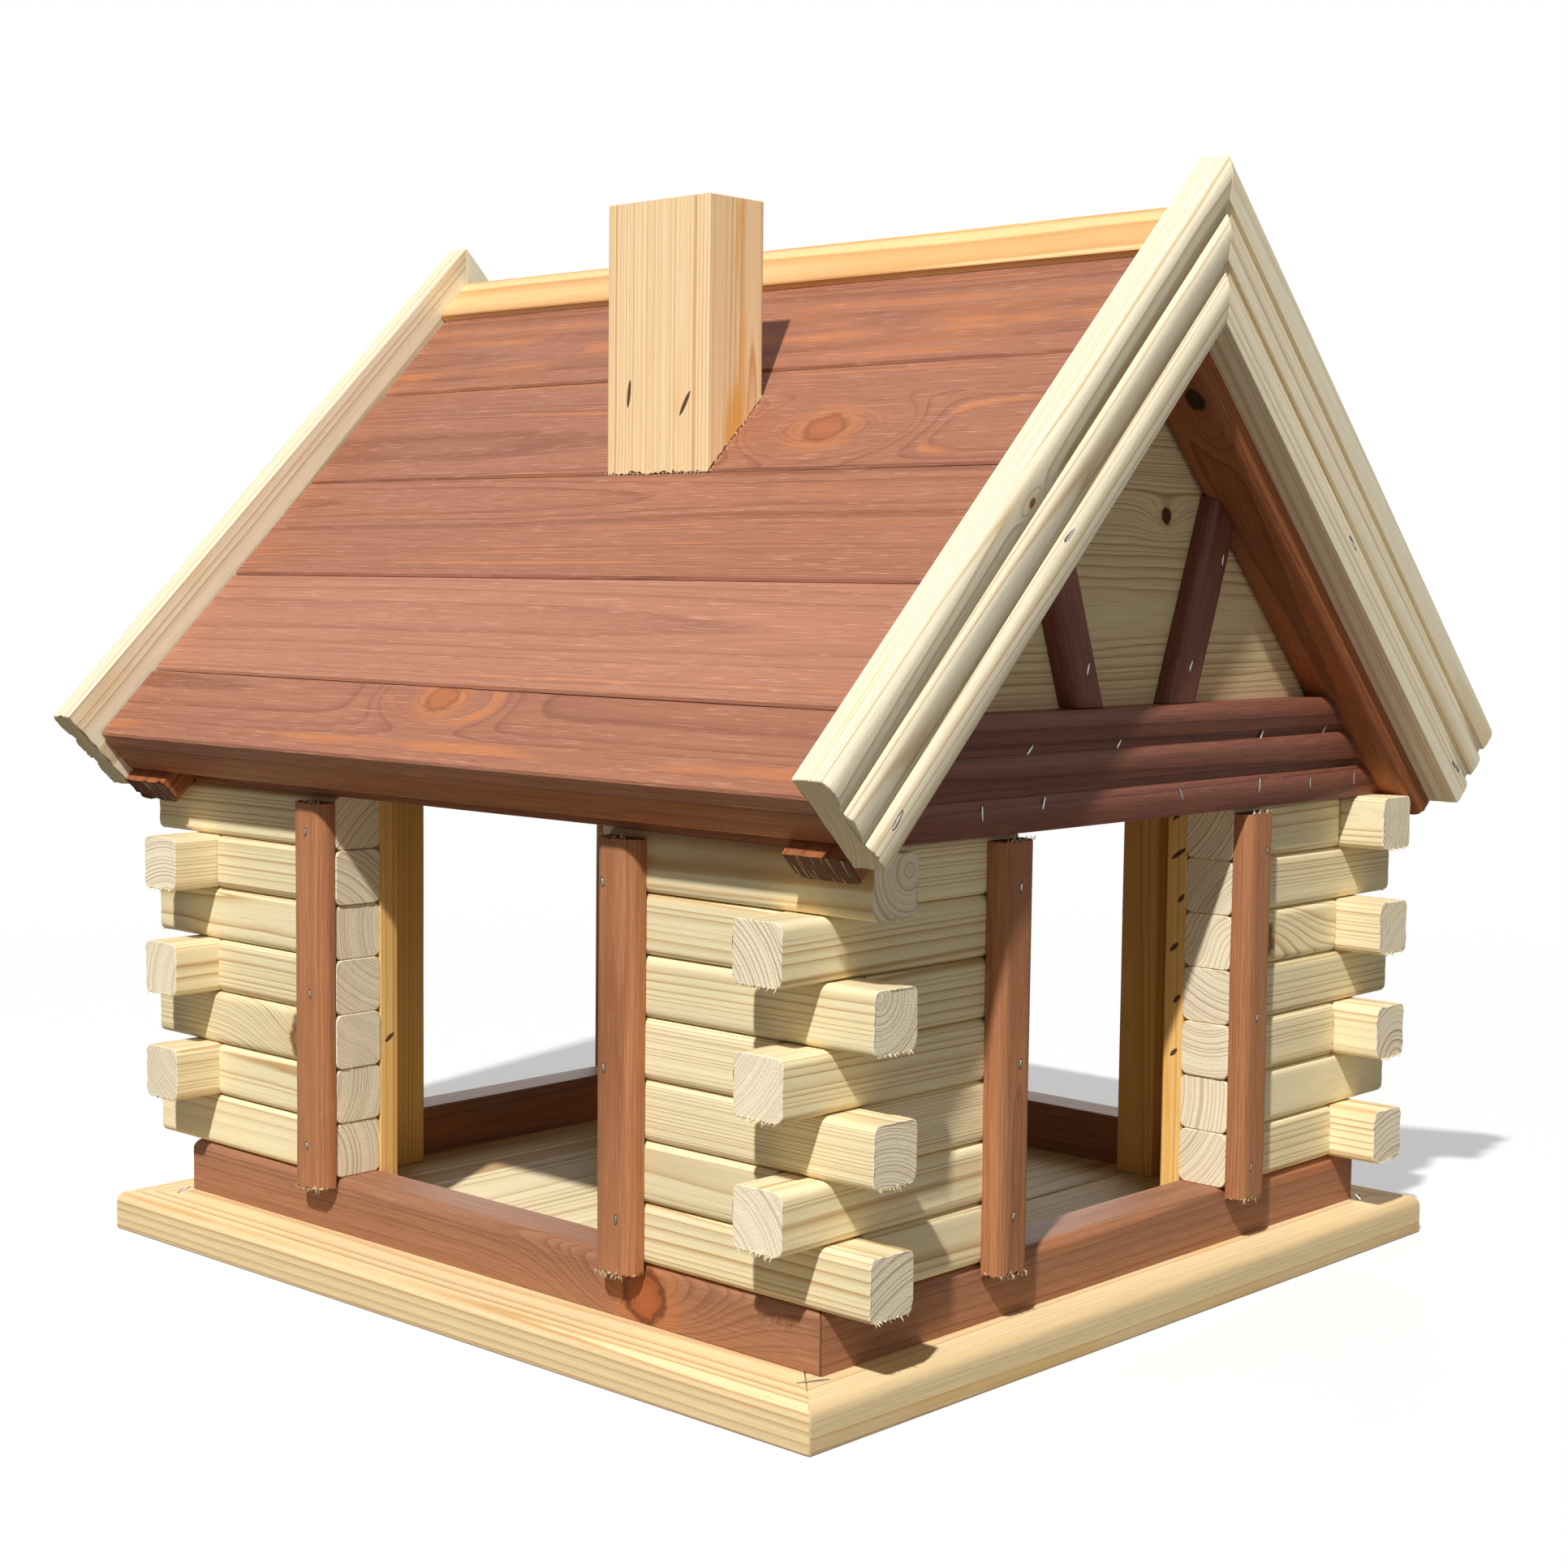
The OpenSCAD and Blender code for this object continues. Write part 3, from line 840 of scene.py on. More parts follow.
def put_in_scene(name: str, data: bpy.types.ID) -> bpy.types.Object:
    """Makes an object of its data and puts it in the scene."""
    made = bpy.data.objects.new(name, data)
    bpy.context.scene.collection.objects.link(made)
    return made


class Timber:
    """Gathers the boards of one piece and writes them as one mesh that carries its grain."""

    GIVEN = ("board", "reach", "knot_size", "grain", "pith", "knot")

    def __init__(self, name: str, seed: int) -> None:
        """Starts an empty piece with its own random numbers."""
        self.name = name
        self.rng = np.random.default_rng(seed)
        self.points: list[np.ndarray] = []
        self.faces: list[tuple[int, ...]] = []
        self.ends: list[bool] = []
        self.values: dict[str, list[np.ndarray]] = {key: [] for key in self.GIVEN}

    def put(self, where: Lay, board: Board, pith: Point | None = None, knot: Knot | None = None,
            tone: float | None = None) -> None:
        """Adds a board.

        Args:
            where: How it lies.
            board: Its shape.
            pith: Where the middle of the trunk was, as (across, out) in the board's coordinates.
            knot: Its knot, if it has one.
            tone: How light it is, 0 to 1, or None for a chance value; above 0.8 it also lays a finish's
                painted sheen on the board.
        """
        count = len(board.points)
        first = sum(len(part) for part in self.points)
        if pith is None:
            turn = self.rng.uniform(0, 2 * math.pi)
            away = self.rng.uniform(18, 75)
            pith = (away * math.cos(turn), away * math.sin(turn))
        slide = self.rng.uniform(0, 4000)
        chance = self.rng.uniform(0, 1)
        shift = np.array([slide, -pith[0], -pith[1]])
        self.points.append(where.place(board.points))
        for face in board.faces:
            turned = face[::-1] if where.flipped else face
            self.faces.append(tuple(first + i for i in turned))
            self.ends.append(self._is_end(board.points[list(face)]))
        spot = np.zeros(3) if knot is None else np.array([knot.along, knot.across, knot.out]) + shift
        self.values["grain"].append(board.points)
        self.values["pith"].append(np.tile(shift, (count, 1)))
        self.values["knot"].append(np.tile(spot, (count, 1)))
        self.values["knot_size"].append(np.full(count, 0.0 if knot is None else knot.size))
        self.values["board"].append(np.full(count, chance if tone is None else tone))
        self.values["reach"].append(board.reach)

    @staticmethod
    def _is_end(corners: np.ndarray) -> bool:
        """Whether a face cuts across the grain."""
        following = np.roll(corners, -1, axis=0)
        normal = np.cross(corners, following).sum(0)
        size = np.linalg.norm(normal)
        return bool(size > 1e-9 and abs(normal[0]) / size > 0.5)

    def mesh(self) -> bpy.types.Mesh:
        """Writes the gathered boards as one mesh, in metres."""
        made = bpy.data.meshes.new(self.name)
        made.from_pydata((np.vstack(self.points) * MM).tolist(), [], self.faces)
        for key, parts in self.values.items():
            write_attribute(made, key, np.concatenate(parts))
        write_attribute(made, "end", np.array(self.ends, float), "FACE")
        shape = bmesh.new()
        shape.from_mesh(made)
        bmesh.ops.dissolve_degenerate(shape, dist=1e-6, edges=shape.edges)
        shape.to_mesh(made)
        shape.free()
        made.shade_smooth()
        made.set_sharp_from_angle(angle=math.radians(32))
        return made

    def piece(self) -> bpy.types.Object:
        """Makes the object of the mesh and puts it in the scene."""
        return put_in_scene(self.name, self.mesh())


class Workshop:
    """Keeps the finished materials and hands pieces over to the frame."""

    def __init__(self) -> None:
        """Mixes every finish once."""
        self.finishes = {finish: finish.value.material() for finish in Finish}
        self.count = 0

    def deliver(self, made: bpy.types.Object, finish: Finish, *nodes: str) -> None:
        """Gives a piece its finish and its place in the frame.

        Args:
            made: The piece.
            finish: Its finish.
            nodes: The solids that it stands for.
        """
        made.data.materials.clear()
        made.data.materials.append(self.finishes[finish])
        if nodes:
            self._compare(made, nodes)
            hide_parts(*nodes)
        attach(made, BODY)
        self.count += 1
        LOG.info("%s: %d faces, %s", made.name, len(made.data.polygons), finish.value.label)

    @staticmethod
    def _compare(made: bpy.types.Object, nodes: Sequence[str]) -> None:
        """Warns where a piece and the solids that it stands for don't fill the same box."""
        boxes = [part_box(node) for node in nodes]
        low = np.min([box[0][:] for box in boxes], axis=0)
        high = np.max([box[1][:] for box in boxes], axis=0)
        points = np.array([vert.co[:] for vert in made.data.vertices])
        off = max(np.abs(points.min(0) - low).max(), np.abs(points.max(0) - high).max())
        if off > LEAST_FAULT * MM:
            LOG.warning("%s is %.1f mm off the solids %s", made.name, off / MM, ", ".join(nodes))


@dataclass(frozen=True)
class Cabin:
    """The sizes that the sub-assemblies share."""

    base_x: float = 400.0
    base_y: float = 394.0
    base_high: float = 16.0
    base_wide: float = 44.0
    sill_high: float = 22.0
    wall_x: float = 364.0
    wall_y: float = 344.0
    log_deep: float = 22.0
    log_high: float = 21.8
    log_seam: float = 0.2
    log_round: float = 3.0
    nose: float = 21.0
    courses: int = 7
    opening_x: float = 158.0
    opening_y: float = 138.0
    post_wide: float = 19.0
    post_thick: float = 8.0
    post_round: float = 5.0
    pitch: float = math.radians(45)
    rafter_wide: float = 28.5
    rafter_deep: float = 27.0
    board_thick: float = 8.0
    eave_reach: float = 6.0
    eave_lath: float = 15.0
    gable_set: float = 6.0
    gable_thick: float = 12.0
    mould_wide: float = 42.0

    @property
    def sill_top(self) -> float:
        """Height of the lowest course."""
        return self.base_high + self.sill_high

    @property
    def log_pitch(self) -> float:
        """Height from one course to the next."""
        return self.log_high + self.log_seam

    @property
    def wall_top(self) -> float:
        """Height of the walls."""
        return self.sill_top + self.courses * self.log_pitch - self.log_seam

    @property
    def inner_x(self) -> float:
        """Distance from the middle to the inner faces of the gable walls."""
        return self.wall_x / 2 - self.log_deep

    @property
    def inner_y(self) -> float:
        """Distance from the middle to the inner faces of the long walls."""
        return self.wall_y / 2 - self.log_deep

    @property
    def peak(self) -> float:
        """Height where the undersides of the rafters would meet."""
        rest = (self.wall_y / 2 - self.log_round) * math.sin(self.pitch)
        rest += (self.wall_top - self.log_round) * math.cos(self.pitch) + self.log_round
        return rest / math.cos(self.pitch)

    @property
    def wall_line(self) -> float:
        """Distance down the slope from the peak to the wall."""
        return self.wall_y / 2 * math.cos(self.pitch) + (self.peak - self.wall_top) * math.sin(self.pitch)

    @property
    def eave_line(self) -> float:
        """Distance down the slope from the peak to the lower edge of the boards."""
        return self.wall_line + self.eave_reach

    @property
    def gable_face(self) -> float:
        """Distance from the middle to the outer faces of the gable panels."""
        return self.wall_x / 2 - self.gable_set

    @property
    def rafter_face(self) -> float:
        """Distance from the middle to the outer faces of the rafters."""
        return self.gable_face + self.rafter_wide

    def down_slope(self, side: int) -> Lay:
        """The lay of a board that runs down a slope, its width along the ridge."""
        down = (0, side * math.cos(self.pitch), -math.sin(self.pitch))
        up = (0, side * math.sin(self.pitch), math.cos(self.pitch))
        return lay((0, 0, self.peak), down, X, up)

    def along_ridge(self, side: int) -> Lay:
        """The lay of a board that runs along the ridge, its width down the slope."""
        slope = self.down_slope(side)
        return Lay(slope.origin, slope.across, slope.along, slope.out)

    @property
    def mitre(self) -> Cut:
        """The plumb cut over the ridge, for a board that runs down a slope."""
        return Cut(0.0, 0.0, -math.tan(self.pitch))

    def post_section(self, low: float) -> list[Point]:
        """The section of a post from low across, with its outer edges rounded."""
        return oblong(
            (low, 0), (low + self.post_wide, self.post_thick), (0.5, 0.5, self.post_round, self.post_round))


@dataclass(frozen=True)
class Moulding:
    """The stepped profile of the barge boards and the gable beams."""

    wide: float = 42.0
    thick: float = 14.0
    groove_wide: float = 3.4
    groove_deep: float = 2.6
    crest_up: float = 1.8
    crest_low: float = 0.9
    crest_share: float = 0.4
    wide_step: float = 0.3
    crest_points: int = 10

    def _fall(self, share: float) -> float:
        """How far a step's face lies below its crest, at a share of its width."""
        if share < self.crest_share:
            return self.crest_up * ((self.crest_share - share) / self.crest_share) ** 2
        return self.crest_low * ((share - self.crest_share) / (1 - self.crest_share)) ** 2

    def _crest(self, top: float, wide: float) -> list[Point]:
        """The round face of one step, from its top down, as (out of the back, down)."""
        shares = [i / self.crest_points for i in range(self.crest_points + 1)]
        return [(self.thick - self._fall(t), top + wide * t) for t in shares]

    def section(self, top: float) -> list[Point]:
        """The section as (across, out), counter-clockwise, its upper edge at the height top."""
        wide = self.wide * self.wide_step
        narrow = (self.wide - wide - 2 * self.groove_wide) / 2
        floor = self.thick - self.groove_deep
        second = narrow + self.groove_wide
        third = 2 * second
        down = [(0.0, 0.0), *self._crest(0, narrow), (floor, narrow + 0.1), (floor, second - 0.1)]
        down += [*self._crest(second, narrow), (floor, second + narrow + 0.1), (floor, third - 0.1)]
        down += [*self._crest(third, wide), (0.0, self.wide)]
        return [(x, top - y) for x, y in reversed(down)]


@dataclass
class BaseFrame:
    """Four warm pine boards with mitred corners."""

    cabin: Cabin
    round_edge: float = 4.0
    open_joint: float = 0.12

    def build(self, shop: Workshop) -> None:
        """Makes the four boards."""
        c = self.cabin
        section = oblong((0.1, 0), (c.base_wide, c.base_high), (0.8, 0.4, 0.4, self.round_edge))
        for i, name in enumerate(("front", "right", "back", "left")):
            timber = Timber(f"base.board_{name}", 100 + i)
            length, depth = (c.base_x, c.base_y) if i % 2 == 0 else (c.base_y, c.base_x)
            where = ring_lay(i, depth / 2, 0.0)
            start = Cut(-length / 2 + self.open_joint, 1.0)
            end = Cut(length / 2 - self.open_joint, -1.0)
            board = bar(section, start, end, timber.rng, sway=0.0, torn=(0.04, 0.04))
            timber.put(where, board, pith=(30 + 8 * i, -26 - 6 * i))
            shop.deliver(timber.piece(), Finish.BASE_PINE, f"base_board_{name}")


def ring_lay(quarter: int, reach: float, height: float) -> Lay:
    """The lay of one bar of a flat frame: it runs round the house, its width inwards.

    Args:
        quarter: 0 for the front, then counter-clockwise.
        reach: Distance of its outer face from the middle.
        height: Height of its underside.

    Returns:
        The lay.
    """
    turn = Matrix.Rotation(math.radians(90 * quarter), 3, "Z")
    parts = [turn @ Vector(part) for part in ((0, -reach, height), (1, 0, 0), (0, 1, 0), (0, 0, 1))]
    return Lay(*parts)


@dataclass
class Floor:
    """Boards laid across the feeder on three battens."""

    cabin: Cabin
    thick: float = 8.0
    board: float = 64.0
    shift: float = 20.0
    seam: float = 0.5
    batten_wide: float = 22.0
    batten_pitch: float = 112.0

    def build(self, shop: Workshop) -> None:
        """Makes the floor boards and the battens."""
        c = self.cabin
        bed_x, bed_y = c.base_x / 2 - c.base_wide, c.base_y / 2 - c.base_wide
        timber = Timber("floor.boards", 120)
        joints = [self.shift + i * self.board for i in range(-2, 2)]
        edges = [-bed_x - self.seam / 2, *joints, bed_x + self.seam / 2]
        where = lay((0, 0, c.base_high - self.thick), Y, (-1, 0, 0), Z)
        gap = self.seam / 2
        for low, high in zip(edges, edges[1:]):
            section = oblong((gap - high, 0), (-low - gap, self.thick), (0.3, 0.3, 0.7, 0.7))
            board = bar(section, Cut(-bed_y), Cut(bed_y), timber.rng, sway=0.04)
            middle = -(low + high) / 2
            timber.put(where, board, pith=(middle + timber.rng.uniform(-20, 20), -timber.rng.uniform(25, 60)))
        shop.deliver(timber.piece(), Finish.PALE_PINE, "floor_boards")
        timber = Timber("floor.battens", 121)
        where = lay(ORIGIN, X, Y, Z)
        half, high = self.batten_wide / 2, c.base_high - self.thick
        for i in (-1, 0, 1):
            middle = i * self.batten_pitch
            section = oblong((middle - half, 0), (middle + half, high), (0.6, 0.6, 0.6, 0.6))
            timber.put(where, bar(section, Cut(-bed_x), Cut(bed_x), timber.rng, sway=0.0))
        shop.deliver(timber.piece(), Finish.PALE_PINE, "floor_battens")


@dataclass
class Sill:
    """Four stained bars that keep the seed in."""

    cabin: Cabin
    set_back: float = 1.0
    round_edge: float = 4.0
    open_joint: float = 0.35
    knots: Mapping[str, Knot] = field(default_factory=lambda: {"front": Knot(97.0, 0.0, 10.5, 7.5)})

    def build(self, shop: Workshop) -> None:
        """Makes the four bars."""
        c = self.cabin
        deep = c.log_deep - self.set_back
        section = oblong((0, 0), (deep, c.sill_high), (0.4, 0.4, 1.0, self.round_edge))
        spans = (c.wall_x - 2 * self.set_back, c.wall_y - 2 * self.set_back)
        for i, name in enumerate(("front", "right", "back", "left")):
            timber = Timber(f"sill.{name}", 140 + i)
            length, depth = spans if i % 2 == 0 else spans[::-1]
            where = ring_lay(i, depth / 2, c.base_high)
            start = Cut(-length / 2 + self.open_joint, 1.0)
            end = Cut(length / 2 - self.open_joint, -1.0)
            board = bar(section, start, end, timber.rng, sway=0.08, torn=(0.05, 0.05))
            timber.put(where, board, pith=(46.0, -18.0 + 9 * i), knot=self.knots.get(name))
            shop.deliver(timber.piece(), Finish.STAINED_SILL, f"sill_{name}")


@dataclass
class CornerStacks:
    """The logs of the four corners, laid course by course by a Geometry Nodes tree."""

    cabin: Cabin
    skew: float = 0.003
    knot_in: float = 22.0
    knot_up: float = 10.0
    knots: Mapping[str, tuple[int, float]] = field(
        default_factory=lambda: {"long_logs_front_left": (1, 6.0), "gable_logs_back_right": (2, 6.5)})

    def build(self, shop: Workshop) -> None:
        """Makes the two stacks of each corner."""
        lay_courses = partial(self._courses, self._course_tree(), shop.finishes[Finish.PALE_PINE])
        c = self.cabin
        for i, (corner, signs) in enumerate(CORNERS.items()):
            long_lay = lay((0, c.inner_y, 0), X, Y, Z).turned(*signs)
            gable_lay = lay((c.inner_x, 0, 0), Y, X, Z).turned(*signs)
            walls = (
                ("long", long_lay, c.opening_x / 2, c.wall_x / 2 + c.nose, c.inner_x),
                ("gable", gable_lay, c.opening_y / 2, c.inner_y, c.wall_y / 2 + c.nose))
            for j, (wall, where, start, even_end, odd_end) in enumerate(walls):
                node = f"{wall}_logs_{corner}"
                parts = [
                    lay_courses(node, where, start, end, first, 200 + 10 * i + 2 * j + first)
                    for first, end in enumerate((even_end, odd_end))]
                shop.deliver(joined(f"logs.{wall}_{corner}", parts), Finish.PALE_PINE, node)

    def _courses(self, tree: bpy.types.NodeTree, material: bpy.types.Material, node: str, where: Lay,
                 start: float, end: float, first: int, seed: int) -> bpy.types.Object:
        """Makes one log and lets the tree lay it on every second course.

        Args:
            tree: The tree that lays the courses.
            material: The wood.
            node: The stack's node, for its knot.
            where: How the log lies, at the height of the house's origin.
            start: Where the log starts.
            end: Where it ends.
            first: The lowest course that it lies on, 0 or 1.
            seed: The seed for its chances.

        Returns:
            The laid courses as a plain mesh.
        """
        c = self.cabin
        timber = Timber(f"{node}.{first}", seed)
        section = oblong((0, 0), (c.log_deep, c.log_high), (c.log_round,) * 4)
        log = bar(section, Cut(start), Cut(end), timber.rng, sway=0.0, torn=(0.1, 0.28), step=2.0)
        timber.put(where, log, pith=(0.0, 0.0), tone=0.0)
        count = (c.courses + 1 - first) // 2
        course, size = self.knots.get(node, (-1, 0.0))
        host = timber.piece()
        for given in ("pith", "board", "knot", "knot_size"):
            host.data.attributes.remove(host.data.attributes[given])
        return applied(host, tree, {
            "Material": material,
            "Courses": count,
            "First Height": (c.sill_top + first * c.log_pitch) * MM,
            "Rise": 2 * c.log_pitch * MM,
            "Skew": self.skew,
            "Seed": seed,
            "Knot Course": course if first == 0 else -1,
            "Knot Size": size,
            "Knot Along": start + self.knot_in,
        })

    def _course_tree(self) -> bpy.types.NodeTree:
        """Builds the tree that stacks a log and gives each copy its own grain.

        Returns:
            The tree.
        """
        tree, graph, given = geometry_tree("log courses", {
            "Courses": ("Int", 4), "First Height": ("Float", 0.0), "Rise": ("Float", 0.044),
            "Skew": ("Float", 0.0), "Seed": ("Int", 0), "Knot Course": ("Int", -1),
            "Knot Size": ("Float", 0.0), "Knot Along": ("Float", 0.0)})
        start = graph.out("ShaderNodeCombineXYZ", {}, {2: given["First Height"]})
        rise = graph.out("ShaderNodeCombineXYZ", {}, {2: given["Rise"]})
        line = graph.out("GeometryNodeMeshLine", {}, {
            "Count": given["Courses"], "Start Location": start, "Offset": rise})
        laid = graph.out("GeometryNodeInstanceOnPoints", {}, {"Points": line, "Instance": given["Geometry"]})
        index = graph.out("GeometryNodeInputIndex")

        def chance(low: float, high: float, offset: int) -> Wire:
            """A chance value between two limits for each log."""
            return graph.out(
                "FunctionNodeRandomValue", {"data_type": "FLOAT"},
                {2: low, 3: high, "ID": index, "Seed": given["Seed"] + offset}, 1)

        turn = graph.out("ShaderNodeCombineXYZ", {}, {2: chance(-1.0, 1.0, 1) * given["Skew"]})
        laid = graph.out("GeometryNodeRotateInstances", {}, {"Instances": laid, "Rotation": turn})
        angle = chance(0.0, 2 * math.pi, 2)
        away = chance(14.0, 60.0, 3)
        pith = graph.out("ShaderNodeCombineXYZ", {}, {
            0: chance(0.0, 4000.0, 4), 1: angle.maths("COSINE") * away, 2: angle.maths("SINE") * away})
        equal = {"data_type": "INT", "operation": "EQUAL"}
        chosen = graph.out("FunctionNodeCompare", equal, {2: index, 3: given["Knot Course"]})
        face = {0: given["Knot Along"], 1: self.cabin.log_deep, 2: self.knot_up}
        spot = graph.out("ShaderNodeCombineXYZ", {}, face)
        stored = (
            ("pith", "FLOAT_VECTOR", pith), ("board", "FLOAT", chance(0.0, 1.0, 5)),
            ("knot", "FLOAT_VECTOR", spot + pith), ("knot_size", "FLOAT", chosen * given["Knot Size"]))
        for name, kind, value in stored:
            laid = graph.out("GeometryNodeStoreNamedAttribute", {"data_type": kind, "domain": "INSTANCE"}, {
                "Geometry": laid, "Name": name, "Value": value})
        finish_tree(graph, laid, given["Material"])
        return tree


def geometry_tree(
        name: str, inputs: Mapping[str, tuple[str, float]],
) -> tuple[bpy.types.NodeTree, Graph, dict[str, Wire]]:
    """Starts a Geometry Nodes tree.

    Args:
        name: The tree's name.
        inputs: Each named input with its kind and its standard value.

    Returns:
        The tree, its graph and the wires of its inputs, Geometry and Material among them.
    """
    tree = bpy.data.node_groups.new(name, "GeometryNodeTree")
    graph = Graph(tree)
    tree.interface.new_socket("Geometry", in_out="INPUT", socket_type="NodeSocketGeometry")
    for label, (kind, value) in inputs.items():
        socket = tree.interface.new_socket(label, in_out="INPUT", socket_type=f"NodeSocket{kind}")
        socket.default_value = value
    tree.interface.new_socket("Material", in_out="INPUT", socket_type="NodeSocketMaterial")
    tree.interface.new_socket("Geometry", in_out="OUTPUT", socket_type="NodeSocketGeometry")
    node = graph.add("NodeGroupInput")
    return tree, graph, {output.name: Wire(graph, output) for output in node.outputs if output.name}


def finish_tree(graph: Graph, shape: Wire, material: Wire) -> None:
    """Ends a Geometry Nodes tree: its instances become real and get their material."""
    real = graph.out("GeometryNodeRealizeInstances", {}, {"Geometry": shape})
    done = graph.out("GeometryNodeSetMaterial", {}, {"Geometry": real, "Material": material})
    graph.add("NodeGroupOutput", {}, {"Geometry": done})


def applied(host: bpy.types.Object, tree: bpy.types.NodeTree,
            values: Mapping[str, object]) -> bpy.types.Object:
    """Runs a tree on an object and keeps its result as a plain mesh.

    Args:
        host: The object, whose mesh is the tree's geometry.
        tree: The tree.
        values: The values of its named inputs.

    Returns:
        The same object with the new mesh and no modifier.
    """
    modifier = host.modifiers.new(tree.name, "NODES")
    modifier.node_group = tree
    ids = {item.name: item.identifier for item in tree.interface.items_tree if item.in_out == "INPUT"}
    for label, value in values.items():
        modifier[ids[label]] = value
    bpy.context.view_layer.update()
    evaluated = host.evaluated_get(bpy.context.evaluated_depsgraph_get())
    result = bpy.data.meshes.new_from_object(evaluated)
    host.modifiers.clear()
    old = host.data
    host.data = result
    bpy.data.meshes.remove(old)
    return host


def joined(name: str, parts: Sequence[bpy.types.Object]) -> bpy.types.Object:
    """Joins objects into the first one and names it."""
    first = parts[0]
    if len(parts) > 1:
        with bpy.context.temp_override(
                active_object=first, selected_objects=list(parts), selected_editable_objects=list(parts)):
            bpy.ops.object.join()
    first.name = name
    first.data.name = name
    return first


@dataclass
class Posts:
    """Stained posts outside the openings and pale battens inside them."""

    cabin: Cabin
    lap: float = 4.0
    short: float = 2.5
    jamb_wide: float = 19.0
    jamb_thick: float = 9.0

    def build(self, shop: Workshop) -> None:
        """Makes the posts and the battens of every corner."""
        c = self.cabin
        foot, head = Cut(c.sill_top - self.lap), Cut(c.wall_top - self.short)
        jamb = oblong((0, -self.jamb_thick), (self.jamb_wide, 0), (0.8, 0.8, 0.3, 0.3))
        for i, (corner, signs) in enumerate(CORNERS.items()):
            outside = {
                "long": lay((c.opening_x / 2, c.wall_y / 2, 0), Z, X, Y),
                "gable": lay((c.wall_x / 2, c.opening_y / 2, 0), Z, Y, X)}
            inside = {
                "long": lay((c.opening_x / 2, c.inner_y, 0), Z, X, Y),
                "gable": lay((c.inner_x, c.opening_y / 2, 0), Z, Y, X)}
            for j, wall in enumerate(("long", "gable")):
                seed = 300 + 10 * i + 2 * j
                timber = Timber(f"post.{wall}_{corner}", seed)
                board = bar(
                    c.post_section(0.0), foot, head, timber.rng, sway=0.15, torn=(0.45, 0.15), step=0.9)
                timber.put(outside[wall].turned(*signs), board, pith=(9.5, -40.0 + 6 * i))
                shop.deliver(timber.piece(), Finish.STAINED_POST, f"{wall}_post_{corner}")
                timber = Timber(f"jamb.{wall}_{corner}", seed + 1)
                board = bar(jamb, Cut(c.base_high), Cut(c.wall_top), timber.rng, sway=0.06)
                timber.put(inside[wall].turned(*signs), board)
                shop.deliver(timber.piece(), Finish.JAMB_PINE, f"{wall}_jamb_{corner}")


@dataclass
class WallPlates:
    """Stained bars that close the tops of the long walls."""

    cabin: Cabin

    def build(self, shop: Workshop) -> None:
        """Makes the two bars."""
        c = self.cabin
        section = oblong((0, 0), (c.log_deep, c.log_high), (0.5, 0.5, c.log_round, 0.5))
        for i, (name, side) in enumerate(SLOPES.items()):
            timber = Timber(f"wall_plate.{name}", 340 + i)
            where = lay((0, c.inner_y, c.wall_top), X, Y, Z).turned(1, side)
            timber.put(where, bar(section, Cut(-c.gable_face), Cut(c.gable_face), timber.rng))
            shop.deliver(timber.piece(), Finish.STAINED_DARK, f"wall_plate_{name}")


@dataclass
class Gables:
    """Pale panels, stepped beams and leaning struts."""

    cabin: Cabin
    moulding: Moulding
    lean: float = math.radians(20)
    foot: float = 30.0

    def build(self, shop: Workshop) -> None:
        """Makes both gables."""
        for i, (name, side) in enumerate(GABLES.items()):
            self._panel(shop, name, side, 360 + i)
            self._beam(shop, name, side, 370 + i)
        for i, (corner, signs) in enumerate(CORNERS.items()):
            self._strut(shop, corner, signs, 380 + i)

    def _panel(self, shop: Workshop, name: str, side: int, seed: int) -> None:
        """Makes one panel, its grain lying flat."""
        c = self.cabin
        top = c.peak + c.rafter_deep / math.cos(c.pitch)
        half, foot = c.inner_y, c.wall_top
        low = top - half * math.tan(c.pitch)
        outline = [(-half, foot), (half, foot), (half, low), (0, top), (-half, low)]
        timber = Timber(f"gable.panel_{name}", seed)
        where = lay((c.gable_face - c.gable_thick, 0, 0), Y, X, Z).turned(side, 1)
        knot = Knot(26.0, c.gable_thick, 305.0, 2.3)
        timber.put(where, prism(outline, c.gable_thick), pith=(-30.0, 268.0), knot=knot, tone=0.35)
        shop.deliver(timber.piece(), Finish.PANEL_PINE, f"gable_panel_{name}")

    def _beam(self, shop: Workshop, name: str, side: int, seed: int) -> None:
        """Makes one beam, cut to the rafters at both ends."""
        c = self.cabin
        section = self.moulding.section(c.wall_top + self.moulding.wide)
        slope = 1 / math.tan(c.pitch)
        timber = Timber(f"gable.beam_{name}", seed)
        where = lay((c.gable_face, 0, 0), Y, X, Z).turned(side, 1)
        start, end = Cut(-c.peak * slope, 0, slope), Cut(c.peak * slope, 0, -slope)
        board = bar(section, start, end, timber.rng, sway=0.08)
        timber.put(where, board, pith=(-36.0, 208.0))
        shop.deliver(timber.piece(), Finish.STAINED_BEAM, f"gable_beam_{name}")

    def _strut(self, shop: Workshop, corner: str, signs: tuple[int, int], seed: int) -> None:
        """Makes one strut, cut to the beam below and to the rafter above."""
        c = self.cabin
        sine, cosine = math.sin(self.lean), math.cos(self.lean)
        base = c.wall_top + c.mould_wide
        height = (c.peak - self.foot - base) / (sine + cosine)
        timber = Timber(f"gable.strut_{corner}", seed)
        where = lay((c.gable_face, self.foot, base), (0, sine, cosine), (0, cosine, -sine), X)
        start, end = Cut(0.0, sine / cosine), Cut(height, -(cosine - sine) / (cosine + sine))
        board = bar(c.post_section(-c.post_wide / 2), start, end, timber.rng, sway=0.1)
        timber.put(where.turned(*signs), board, pith=(0.0, -40.0))
        shop.deliver(timber.piece(), Finish.STAINED_BEAM, f"gable_strut_{corner}")


